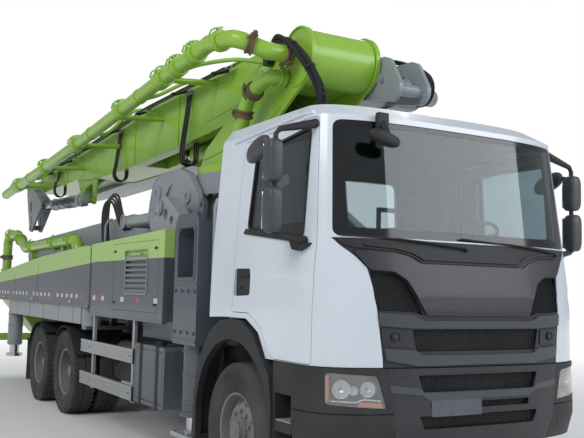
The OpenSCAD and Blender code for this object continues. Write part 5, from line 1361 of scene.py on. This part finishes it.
def buildSides():
    for tag, side in (("Right", -1), ("Left", 1)):
        y = body["side"]
        # louvre slats, each folded out over the opening under it
        slats = Shape()
        low, high = body["slatZ"]
        for i in range(body["slats"]):
            z = low + (high - low) * i / (body["slats"] - 1)
            fold = [(y - 0.022, z + 0.030), (y - 0.004, z + 0.022), (y + 0.010, z + 0.003), (y + 0.011, z - 0.002),
                    (y + 0.007, z - 0.001), (y - 0.006, z + 0.016), (y - 0.024, z + 0.024)]
            slats.rings([[(x, a * side, b) for a, b in fold] for x in body["slatX"]])
        sideFrame(slats, side, (1.835, 1.528), (2.495, 1.925), 0.020, 0.008)
        slats.make("louvreSlats" + tag, ["louvre"], "truck", bevel=0.0015)
        trims = Shape()
        sideFrame(trims, side, (1.805, 1.905), (2.520, 1.990), 0.014, 0.007, 0.02)
        sideBox(trims, side, (2.06, y - 0.012, 1.925), (2.30, y + 0.012, 1.945))
        trims.make("hatchHandle" + tag, ["band"], "truck", bevel=0.002)
        # black seal in the gap between box and side panel, ledges, hinges, edge folds
        seals = Shape()
        sideBox(seals, side, (0.583, y, 1.37), (0.622, y - 0.045, 2.045))
        for x in (-1.95, -3.45):
            sideBox(seals, side, (x - 0.003, y - 0.004, 1.372), (x + 0.003, y - 0.0005, 1.90 if x > -3 else 1.78))
        for x in (1.50, 2.72):
            for z in (1.44, 1.98):
                sideBox(seals, side, (x - 0.03, y, z - 0.012), (x + 0.03, y + 0.009, z + 0.012))
        seals.make("sideSeals" + tag, ["plastic"], "truck")
        folds = Shape()
        for low, high in (((-4.99, 1.352), (0.575, 1.374)), ((0.63, 1.270), (2.925, 1.292))):
            sideBox(folds, side, (low[0], y - 0.05, low[1]), (high[0], y + 0.004, high[1]))
        rim = [(-4.99, 1.762), (-4.70, 1.802), (-2.0, 1.992), (0.30, 2.077), (0.57, 2.062)]
        folds.tube([(x, (y - 0.012) * side, z) for x, z in rim], 0.011, sides=8)
        for x, top in ((2.925, 2.148), (0.640, 2.088)):
            sideBox(folds, side, (x - 0.006, y - 0.03, 1.30), (x + 0.006, y + 0.004, top))
        folds.make("sideFolds" + tag, ["panels"], "truck", bevel=0.002)
        # reflective squares in a row, white with a red one now and then
        for kind, pick in (("tapeWhite", 0), ("tapeRed", 1)):
            squares = Shape()
            for i in range(24):
                x = -4.82 + 0.222 * i
                if x > 0.50 or (i % 6 == 5) != bool(pick):
                    continue
                sideBox(squares, side, (x - 0.045, y - 0.003, 1.455), (x + 0.045, y - 0.0005, 1.505))
            for x in (0.79, 1.11, 1.77, 2.74) if not pick else (0.95, 2.25):
                sideBox(squares, side, (x - 0.05, y - 0.001, 1.450), (x + 0.05, y + 0.0012, 1.500))
            squares.make("tapes" + kind[4:] + tag, [kind], "truck")
        # side marker lamps
        lamps = Shape()
        for x in (-4.2, -2.2, -0.2):
            lamps.join(pillow((x, (y + 0.003) * side, 1.415), (0.045, 0.010, 0.018), 4.0, steps=20, rows=8))
        lamps.make("sideMarkers" + tag, ["orange"], "truck")
        # front leg: weld lips, a raised outline on its plain cover plate and the plate's bolts, rings round the leg,
        # and ribs on the foot pad
        leg = Shape()
        legY = 1.250
        for x1, x2, z1, z2 in ((3.205, 3.685, 1.14, 1.165), (3.205, 3.685, 1.64, 1.66)):
            sideBox(leg, side, (x1, legY, z1), (x2, legY + 0.006, z2))
        sideFrame(leg, side, (3.245, 1.672), (3.645, 2.158), 0.024, 0.006, 0.05)
        for z in (0.62, 0.86, 1.06):
            leg.turned([(0.125, -0.012), (0.132, -0.010), (0.132, 0.010), (0.125, 0.012)], (3.445, 1.105 * side, z), (0, 0, 1))
        leg.make("frontLegTrim" + tag, ["slate"], "front_leg_" + tag.lower(), bevel=0.0015)
        bolts = [((3.445 + dx, (legY + 0.001) * side, z), (math.pi / 2 * -side, 0, 0), (1, 1, 1))
                 for dx in (-0.21, -0.07, 0.07, 0.21) for z in (1.22, 1.58)]
        nut = Shape().turned([(0.0, 0.0), (0.015, 0.0), (0.015, 0.010), (0.011, 0.013), (0.0, 0.013)], (0, 0, 0), (0, 0, 1), steps=6)
        repeated("frontLegBolts" + tag, nut, bolts, "slate", "front_leg_" + tag.lower())
        pad = Shape()
        for i in range(5):
            x = 3.245 + 0.1 * i
            sideBox(pad, side, (x - 0.008, 0.968, 0.353), (x + 0.008, 1.238, 0.372))
        pad.turned([(0.088, 0.0), (0.118, 0.0), (0.100, 0.028), (0.088, 0.032)], (3.445, 1.105 * side, 0.352), (0, 0, 1))
        pad.make("frontFootRibs" + tag, ["pipeGrey"], "front_jack_" + tag.lower(), bevel=0.002)
        # rear outrigger: weld plates, jack collar
        arm = Shape()
        for z in (0.68, 0.95, 1.13):
            arm.turned([(0.112, -0.012), (0.121, -0.010), (0.121, 0.010), (0.112, 0.012)], (-3.85, 1.12 * side, z), (0, 0, 1))
        for x in (-3.2, -2.4, -1.6, -0.8, -0.1):
            sideBox(arm, side, (x - 0.006, 1.237, 1.155), (x + 0.006, 1.243, 1.350))
        arm.make("rearOutriggerTrim" + tag, ["pipeGrey"], "rear_outrigger_" + tag.lower(), bevel=0.002)
        # fuel and air tanks: straps, cap, drain and edge ribs
        tank = Shape()
        for x in (2.34, 2.77):
            for z1, z2, y1, y2 in ((0.476, 1.054, 1.226, 1.232), (1.050, 1.056, 0.62, 1.232), (0.474, 0.480, 0.62, 1.232)):
                sideBox(tank, side, (x - 0.03, y1, z1), (x + 0.03, y2, z2))
        tank.turned([(0.0, 0.0), (0.055, 0.0), (0.055, 0.030), (0.045, 0.040), (0.0, 0.040)], (2.55, 1.10 * side, 1.048), (0, 0, 1), steps=40)
        tank.turned([(0.0, 0.0), (0.012, 0.0), (0.012, 0.02), (0.0, 0.02)], (2.55, 0.9 * side, 0.482), (0, 0, -1), steps=16)
        tank.make("tankTrim" + tag, ["plastic"], "truck", bevel=0.002)
        # side guard caps and brackets
        guard = Shape()
        for z in (0.47, 0.84):
            for x in (0.294, 2.130):
                sideBox(guard, side, (x, 1.198, z - 0.003), (x + 0.006, 1.240, z + 0.143))
        guard.make("guardCaps" + tag, ["plastic"], "truck", bevel=0.001)
        bolts = [((x + 0.03, 1.2375 * side, z + 0.07), (math.pi / 2 * -side, 0, 0), (0.6, 0.6, 0.6)) for x in (0.64, 2.0) for z in (0.47, 0.84)]
        repeated("guardBolts" + tag, nut, bolts, "rim", "truck")
        # mudflaps behind the front and rear wheels
        flaps = Shape()
        for x, low, high, y1, y2 in ((3.672, 0.24, 0.60, 1.065, 1.240), (-2.52, 0.22, 0.80, 0.62, 1.22)):
            rows = []
            for i in range(9):
                z = low + (high - low) * i / 8
                dx = 0.010 * math.sin(3.1 * i / 8)
                rows.append([(x + dx, y1 * side, z), (x + dx, y2 * side, z), (x + dx + 0.007, y2 * side, z), (x + dx + 0.007, y1 * side, z)])
            flaps.rings(rows)
        sideBox(flaps, side, (-2.530, 0.60, 0.79), (-2.505, 1.225, 0.83))
        sideBox(flaps, side, (-2.53, 0.42, 0.80), (-2.50, 0.61, 0.83))
        flaps.make("mudflaps" + tag, ["rubber"], "truck", bevel=0.001)
    # step treads
    for tag, side in (("Right", -1), ("Left", 1)):
        treads, teeth = Shape(), []
        for z in (0.440, 0.700):
            sideBox(treads, side, (5.07, 1.03, z + 0.001), (5.285, 1.222, z + 0.010))
            for i in range(9):
                for j in range(7):
                    teeth.append(((5.09 + 0.024 * i, (1.045 + 0.027 * j) * side, z + 0.010), (0, 0, 0.6 if (i + j) % 2 else -0.6), (1, 1, 1)))
        treads.make("stepTreads" + tag, ["aluminium"], "truck", bevel=0.001)
        repeated("stepTeeth" + tag, Shape().box((-0.007, -0.002, 0.0), (0.007, 0.002, 0.003)), teeth, "aluminium", "truck")


def buildDeck():
    # hose loops that stand over the deck's edge
    for i in range(4):
        x = -0.13 + 0.075 * i
        for side in (-1,):
            hoseRun("deckLoop%d" % (i + 1), [
                (x, -0.86, 1.842), (x - 0.01, -0.872, 2.05), (x - 0.045, -0.885, 2.30), (x - 0.03, -0.895, 2.50), (x + 0.05, -0.90, 2.63 + 0.02 * i),
                (x + 0.20, -0.90, 2.675 + 0.02 * i), (x + 0.36, -0.895, 2.63 + 0.02 * i), (x + 0.46, -0.885, 2.52), (x + 0.50, -0.86, 2.40),
                (x + 0.50, -0.81, 2.33), (x + 0.48, -0.77, 2.30)], 0.030, "truck")
    hooks = Shape()
    hooks.tube([(0.10, -0.93, 1.842), (0.10, -0.93, 2.36), (0.11, -0.90, 2.43), (0.14, -0.86, 2.44)], 0.016, sides=10)
    hooks.box((-0.20, -0.90, 2.05), (0.16, -0.84, 2.09))
    hooks.make("deckHoseRack", ["pipeGrey"], "truck", bevel=0.002)
    # valve block with levers beside the pedestal, coil and filter housings on the deck
    block = Shape().box((0.62, -0.62, 2.16), (0.98, -0.44, 2.34)).box((-0.55, -0.50, 1.842), (-0.10, -0.10, 2.02))
    for i in range(6):
        x = 0.66 + 0.056 * i
        block.tube([(x, -0.60, 2.34), (x, -0.62, 2.44), (x, -0.635, 2.47)], 0.007, sides=8)
        block.turned([(0.0, -0.014), (0.011, -0.010), (0.014, 0.0), (0.011, 0.010), (0.0, 0.014)], (x, -0.638, 2.48), (0, 0, 1), steps=16)
    for x, y, r, h in ((-0.9, -0.45, 0.10, 0.34), (-0.9, 0.45, 0.10, 0.34), (-1.4, 0.5, 0.14, 0.26)):
        block.turned([(0.0, 0.0), (r, 0.0), (r, h - 0.03), (r * 0.9, h), (0.0, h)], (x, y, 1.840), (0, 0, 1))
    block.make("valveBlock", ["pipeGrey"], "truck", bevel=0.004)
    # delivery pipe on the deck: couplings at its joints
    rings, rusty = Shape(), Shape()
    for at, way, up in (((-0.78, -1.10, 2.199), (1, 0, 0), (0, -0.6, 0.8)), ((-1.62, -1.10, 2.196), (1, 0, 0), (0, -0.6, 0.8)),
                        ((-2.98, -1.10, 2.192), (1, 0, 0), (0, -0.6, 0.8)), ((-3.85, -1.10, 2.338), (-0.93, 0, 0.36), (0, -0.8, 0.6)),
                        ((-4.55, -1.10, 2.44), (1, 0, 0), (0, -0.6, 0.8))):
        clampShape(rings, at, way, up=up)
    clampShape(rusty, (-4.87, -1.10, 2.08), (0, 0, 1), up=(0, -1, 0))
    clampShape(rusty, (-0.48, -1.10, 1.95), (0, 0, 1), up=(0, -1, 0))
    rings.make("deckPipeClamps", ["lime"], "truck", bevel=0.0015)
    rusty.make("deckPipeRustyClamps", ["rust"], "truck", bevel=0.0015)
    # long side beams: cover strips, bolts, lashing rings; ram glands under the sloping lever
    strips = Shape()
    for side in (-1, 1):
        for x in (-4.2, -3.0, -1.8, -0.6, 0.6):
            sideBox(strips, side, (x - 0.05, 0.758, 2.11), (x + 0.05, 0.766, 2.33))
        for at, r in ((0.12, 0.074), (0.80, 0.074), (0.86, 0.071)):
            strips.turned([(0.064, -0.02), (r, -0.017), (r, 0.017), (0.064, 0.02)], (1.2 + at, 1.02 * side, 2.33 - 0.011 * at), (1, 0, -0.01), steps=36)
        for x, z, r in ((2.34, 2.40, 0.075), (1.24, 2.33, 0.080)):
            strips.turned([(r * 0.75, -0.004), (r, -0.004), (r, 0.012), (r * 0.85, 0.016), (r * 0.75, 0.012)], (x, 1.090 * side, z), (0, side, 0), steps=36)
        for x, z in ((2.20, 2.36), (2.80, 2.20)):
            strips.turned([(0.0, 0.0), (0.022, 0.0), (0.022, 0.012), (0.0, 0.014)], (x, 1.079 * side, z), (0, side, 0), steps=6)
    strips.make("deckBeamTrim", ["pipeGrey"], "truck", bevel=0.002)
    # pedestal side plates: bosses, rims of the curved slot and stiffening ribs
    ribs = Shape()
    slot = [(1.76, 2.70), (1.83, 2.72), (1.70, 2.56), (1.56, 2.47), (1.54, 2.53), (1.65, 2.60)]
    for side in (-1, 1):
        ribs.tube([(x, 0.761 * side, z) for x, z in slot + slot[:1]], 0.010, sides=8)
        for x, z, r in ((1.42, 2.64, 0.095), (2.05, 2.30, 0.11), (2.28, 2.54, 0.07)):
            ribs.turned([(0.0, -0.004), (r, -0.004), (r, 0.016), (r * 0.85, 0.022), (r * 0.6, 0.022), (r * 0.55, 0.010), (0.0, 0.010)],
                        (x, 0.760 * side, z), (0, side, 0), steps=48)
        edge = [(1.16, 2.55), (1.25, 2.77), (1.42, 2.852), (2.03, 2.862), (2.285, 2.782), (2.48, 2.60), (2.69, 2.20), (2.69, 1.55)]
        for a, b in zip(edge, edge[1:]):
            ribs.tube([(a[0], 0.757 * side, a[1]), (b[0], 0.757 * side, b[1])], 0.008, sides=8)
    ribs.make("pedestalTrim", ["pipeGrey"], "truck", bevel=0.0015)
    ring = [((2.4 + 0.655 * math.cos(a), 0.655 * math.sin(a), 2.5595), (math.pi, 0, a), (1, 1, 1))
            for a in (2 * math.pi * i / 36 for i in range(36)) if abs(math.sin(a)) > 0.2]
    nut = Shape().turned([(0.0, 0.0), (0.016, 0.0), (0.016, 0.014), (0.0, 0.014)], (0, 0, 0), (0, 0, 1), steps=6)
    repeated("slewBolts", nut, ring, "pipeGrey", "truck")
    # upright bars and rods that stand between leg and cab
    bars = Shape()
    for side in (-1, 1):
        bars.tube([(3.755, 1.12 * side, 1.62), (3.755, 1.12 * side, 2.30), (3.75, 1.10 * side, 2.36), (3.74, 1.04 * side, 2.39), (3.74, 0.80 * side, 2.40),
                   (3.74, 0.60 * side, 2.40)], 0.024, sides=12)
        sideBox(bars, side, (3.735, 0.40, 1.60), (3.775, 1.14, 1.64))
        sideBox(bars, side, (3.735, 0.40, 1.03), (3.775, 0.44, 1.64))
        sideBox(bars, side, (3.72, 0.585, 1.60), (3.76, 0.615, 2.42))
    bars.make("cabRearBars", ["pipeGrey"], "truck", bevel=0.002)


def buildRear():
    # hopper: stiffening ribs, splash edge along its top, agitator shaft and gearbox, and trim on the rear bar
    ribs = Shape()
    for y in (-0.80, -0.40, 0.0, 0.40, 0.80):
        ribs.box((-5.812, y - 0.010, 1.33), (-5.788, y + 0.010, 1.53))
    for side in (-1, 1):
        for x in (-5.55, -5.25, -4.98):
            sideBox(ribs, side, (x - 0.010, 0.955, 1.34), (x + 0.010, 1.008, 1.54))
    ribs.box((-5.829, -1.004, 1.535), (-5.800, 1.004, 1.562))
    for side in (-1, 1):
        sideBox(ribs, side, (-5.82, 0.985, 1.535), (-4.87, 1.012, 1.562))
        ribs.turned([(0.0, 0.0), (0.13, 0.0), (0.13, 0.05), (0.10, 0.065), (0.0, 0.07)], (-5.25, 0.74 * side, 1.05), (0, side, 0))
        ribs.turned([(0.0, 0.0), (0.06, 0.0), (0.06, 0.12), (0.05, 0.13), (0.0, 0.13)], (-5.25, 0.80 * side, 1.05), (0, side, 0))
    ribs.make("hopperRibs", ["lime"], "truck", bevel=0.003)
    bin = Shape()
    bin.tube([(-5.35, -0.93, 1.32), (-5.35, 0.93, 1.32)], 0.045, sides=20)
    for i in range(6):
        y, a = -0.75 + 0.3 * i, i * 1.1
        tip = (-5.35 + 0.21 * math.cos(a), y + 0.05, 1.32 + 0.16 * math.sin(a))
        bin.tube([(-5.35, y, 1.32), tip], [0.030, 0.022], sides=10)
        bin.box((tip[0] - 0.05, tip[1] - 0.012, tip[2] - 0.02), (tip[0] + 0.05, tip[1] + 0.012, tip[2] + 0.02))
    bin.make("agitator", ["concrete"], "truck", bevel=0.003)
    bar = Shape()
    for y in (-0.95, -0.60, 0.60, 0.95):
        bar.join(pillow((-5.052, y, 0.70), (0.014, 0.06, 0.035), 4.0, steps=24, rows=8))
    bar.box((-5.046, -0.26, 0.655), (-5.041, 0.26, 0.765))
    bar.make("rearBarTrim", ["plastic"], "truck", bevel=0.002)
    # pumping cylinders: tie rods, end rings, hydraulic lines
    pump = Shape()
    for side in (-1, 1):
        for x in (-4.70, -4.1, -3.4, -2.85):
            pump.turned([(0.129, -0.022), (0.142, -0.018), (0.142, 0.018), (0.129, 0.022)], (x, 0.19 * side, 1.18), (1, 0, 0))
        for x in (-2.25, -1.5, -0.8):
            pump.turned([(0.079, -0.020), (0.092, -0.016), (0.092, 0.016), (0.079, 0.020)], (x, 0.19 * side, 1.18), (1, 0, 0))
        for dy, dz in ((0.115, 0.115), (-0.115, 0.115), (0.115, -0.115), (-0.115, -0.115)):
            pump.tube([(-4.86, 0.19 * side + dy, 1.18 + dz), (-2.77, 0.19 * side + dy, 1.18 + dz)], 0.013, sides=8)
        pump.tube(smoothLine([(-0.66, 0.19 * side, 1.24), (-0.50, 0.19 * side, 1.25), (-0.40, 0.24 * side, 1.20), (-0.30, 0.30 * side, 1.12),
                              (-0.10, 0.34 * side, 1.08), (0.80, 0.34 * side, 1.07), (1.00, 0.34 * side, 1.10), (1.12, 0.34 * side, 1.20)], 5), 0.020, sides=10)
    pump.make("pumpTrim", ["pipeGrey"], "truck", bevel=0.0015)


def buildUnder():
    # chassis: gearbox, air bottles, prop shaft joints, brake chambers, hoses and lines
    box = Shape()
    for x, z, r1, r2, l in ((3.60, 0.80, 0.20, 0.15, 0.36),):
        box.turned([(0.0, 0.0), (r1, 0.0), (r1, 0.06), (r2, 0.16), (r2 * 0.8, l), (0.0, l)], (x + 0.365, 0, z), (-1, 0, 0))
    for x in (3.55, 1.9, 0.2):
        box.turned([(0.054, -0.07), (0.075, -0.05), (0.078, 0.05), (0.054, 0.07)], (x, 0, 0.79 - (3.959 - x) * 0.0540), (1, 0, 0.054))
    box.make("driveTrim", ["frame"], "truck", bevel=0.004)
    bottles = Shape()
    for side in (-1, 1):
        for x, z in ((1.15, 0.88), (1.15, 0.64)):
            bottles.turned([(0.0, -0.42), (0.06, -0.415), (0.10, -0.38), (0.11, -0.34), (0.11, 0.34), (0.10, 0.38), (0.06, 0.415), (0.0, 0.42)],
                           (x, 0.86 * side, z), (1, 0, 0))
            for dx in (-0.22, 0.22):
                bottles.turned([(0.109, -0.018), (0.114, -0.018), (0.114, 0.018), (0.109, 0.018)], (x + dx, 0.86 * side, z), (1, 0, 0))
        for dx in (-0.22, 0.22):
            sideBox(bottles, side, (1.15 + dx - 0.02, 0.425, 0.80), (1.15 + dx + 0.02, 0.77, 0.96))
            sideBox(bottles, side, (1.15 + dx - 0.02, 0.74, 0.56), (1.15 + dx + 0.02, 0.77, 0.96))
    bottles.make("airBottles", ["frame"], "truck", bevel=0.002)
    brakes = Shape()
    for x in (-0.5, -1.85):
        for side in (-1, 1):
            brakes.turned([(0.0, 0.0), (0.060, 0.0), (0.078, 0.02), (0.078, 0.06), (0.084, 0.065), (0.084, 0.075), (0.078, 0.08), (0.078, 0.15),
                           (0.05, 0.17), (0.0, 0.17)], (x + 0.14, 0.34 * side, 0.66), (0.6, 0, 0.4), steps=32)
        brakes.turned([(0.0, -0.01), (0.150, -0.01), (0.150, 0.01), (0.09, 0.05), (0.0, 0.06)], (x + 0.045, 0, 0.52), (1, 0, 0))
        ring = [(0.19 * math.cos(a), 0.19 * math.sin(a)) for a in (2 * math.pi * i / 12 for i in range(12))]
        for y, z in ring:
            brakes.turned([(0.0, 0.0), (0.012, 0.0), (0.012, 0.012), (0.0, 0.012)], (x + 0.039, y, 0.52 + z), (1, 0, 0), steps=6)
    brakes.make("axleTrim", ["frame"], "truck", bevel=0.002)
    engine = Shape()
    for i in range(6):
        x = 4.12 + 0.16 * i
        engine.box((x - 0.065, -0.20, 1.098), (x + 0.065, 0.20, 1.165))
    engine.box((4.00, -0.30, 0.50), (5.05, 0.30, 0.605))
    for side in (-1, 1):
        for i in range(6):
            x = 4.12 + 0.16 * i
            engine.tube(smoothLine([(x, 0.325 * side, 1.02), (x, 0.37 * side, 1.03), (x + 0.02, 0.395 * side, 0.99), (x + 0.03, 0.40 * side, 0.95)], 4), 0.025, sides=10)
        engine.tube([(4.08, 0.40 * side, 0.94), (5.0, 0.40 * side, 0.94)], 0.035, sides=14)
    engine.turned([(0.0, 0.0), (0.10, 0.0), (0.10, 0.03), (0.06, 0.035), (0.05, 0.05), (0.0, 0.05)], (5.148, 0, 0.80), (1, 0, 0))
    engine.make("engineTrim", ["frame"], "truck", bevel=0.004)


def buildInside():
    # seats with bolsters, head rests and belts; wheel, dials, dark trim on the cab's inner walls
    seats = Shape()
    for y in (-0.62, 0.62):
        seats.join(pillow((4.76, y, 1.82), (0.255, 0.245, 0.070), 5.0, steps=40, rows=14))
        for s in (-1, 1):
            seats.join(pillow((4.77, y + 0.205 * s, 1.855), (0.235, 0.055, 0.055), 3.5, steps=28, rows=10))
        lean = Matrix.Translation((4.455, y, 2.16)) @ Matrix.Rotation(-0.19, 4, "Y")
        seats.join(pillow((0, 0, 0), (0.065, 0.225, 0.325), 5.0, steps=40, rows=16), turn=lean)
        for s in (-1, 1):
            seats.join(pillow((0.030, 0.175 * s, -0.03), (0.055, 0.050, 0.270), 3.5, steps=24, rows=12), turn=lean)
        seats.join(pillow((-0.01, 0, 0.40), (0.048, 0.130, 0.090), 4.0, steps=28, rows=12), turn=lean)
        seats.box((4.60, y - 0.15, 1.418), (4.90, y + 0.15, 1.765))
    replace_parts(seats.make("seats", ["cloth"], "truck", bevel=None), "cab_interior")
    dash = Shape()
    profile = rounded([(5.18, 1.60), (5.29, 1.42), (5.44, 1.42), (5.48, 1.90), (5.32, 1.96), (5.18, 1.88)], 0.03)
    dash.rings([[(x, y, z) for x, z in profile] for y in (-1.08, -0.36, 0.36, 1.08)])
    dash.join(pillow((5.24, 0.62, 1.955), (0.12, 0.30, 0.045), 4.0, steps=36, rows=12))
    tunnel = rounded([(-0.33, 1.42), (0.33, 1.42), (0.31, 1.70), (-0.31, 1.70)], 0.05)
    dash.rings([[(x, y, z) for y, z in tunnel] for x in (4.35, 5.20)])
    dash.tube([(5.25, 0.62, 1.80), (5.043, 0.62, 2.036)], 0.030)
    axis = Vector((-0.656, 0, 0.755))
    centre, across = Vector((5.04, 0.62, 2.04)), Vector((0.755, 0, 0.656))
    rim = [centre + (across * math.cos(a) + Vector((0, 1, 0)) * math.sin(a)) * 0.215 for a in (2 * math.pi * i / 48 for i in range(49))]
    dash.tube(rim, 0.016)
    for a in (0.5, 2.64, 4.71):
        dash.tube([centre, centre + (across * math.sin(a) + Vector((0, 1, 0)) * math.cos(a)) * 0.21], [0.022, 0.014], sides=10)
    dash.turned([(0.0, -0.02), (0.06, -0.02), (0.055, 0.018), (0.0, 0.022)], centre, axis)
    dash.tube([(4.95, 0.02, 1.69), (4.93, 0.03, 1.86)], 0.010)
    dash.turned([(0.0, -0.03), (0.02, -0.02), (0.026, 0.0), (0.02, 0.02), (0.0, 0.026)], (4.93, 0.03, 1.88), (0, 0, 1), steps=24)
    dash.make("dashboard", ["plastic"], "truck", bevel=0.004)
    belts = Shape()
    for s in (-1, 1):
        belts.tube([(4.36, 1.02 * s, 2.52), (4.40, 0.98 * s, 2.20), (4.44, 0.93 * s, 1.80), (4.46, 0.92 * s, 1.44)], 0.022, flat=0.12, sides=8)
    belts.make("seatBelts", ["plastic"], "truck")
    trim = Shape()
    trim.box((3.925, -1.10, 1.425), (3.940, 1.10, 2.06)).box((3.925, -1.10, 2.70), (3.940, 1.10, 2.80))
    trim.box((3.925, -1.10, 1.421), (5.18, 1.10, 1.428))
    trim.join(pillow((4.12, 0, 1.75), (0.17, 0.62, 0.07), 5.0, steps=40, rows=12))
    trim.make("cabTrim", ["cloth"], "truck", bevel=0.002)


buildSides()
buildDeck()
print("body and deck dressed")
buildRear()
buildUnder()
buildInside()
print("rear, underside and cab inside done")
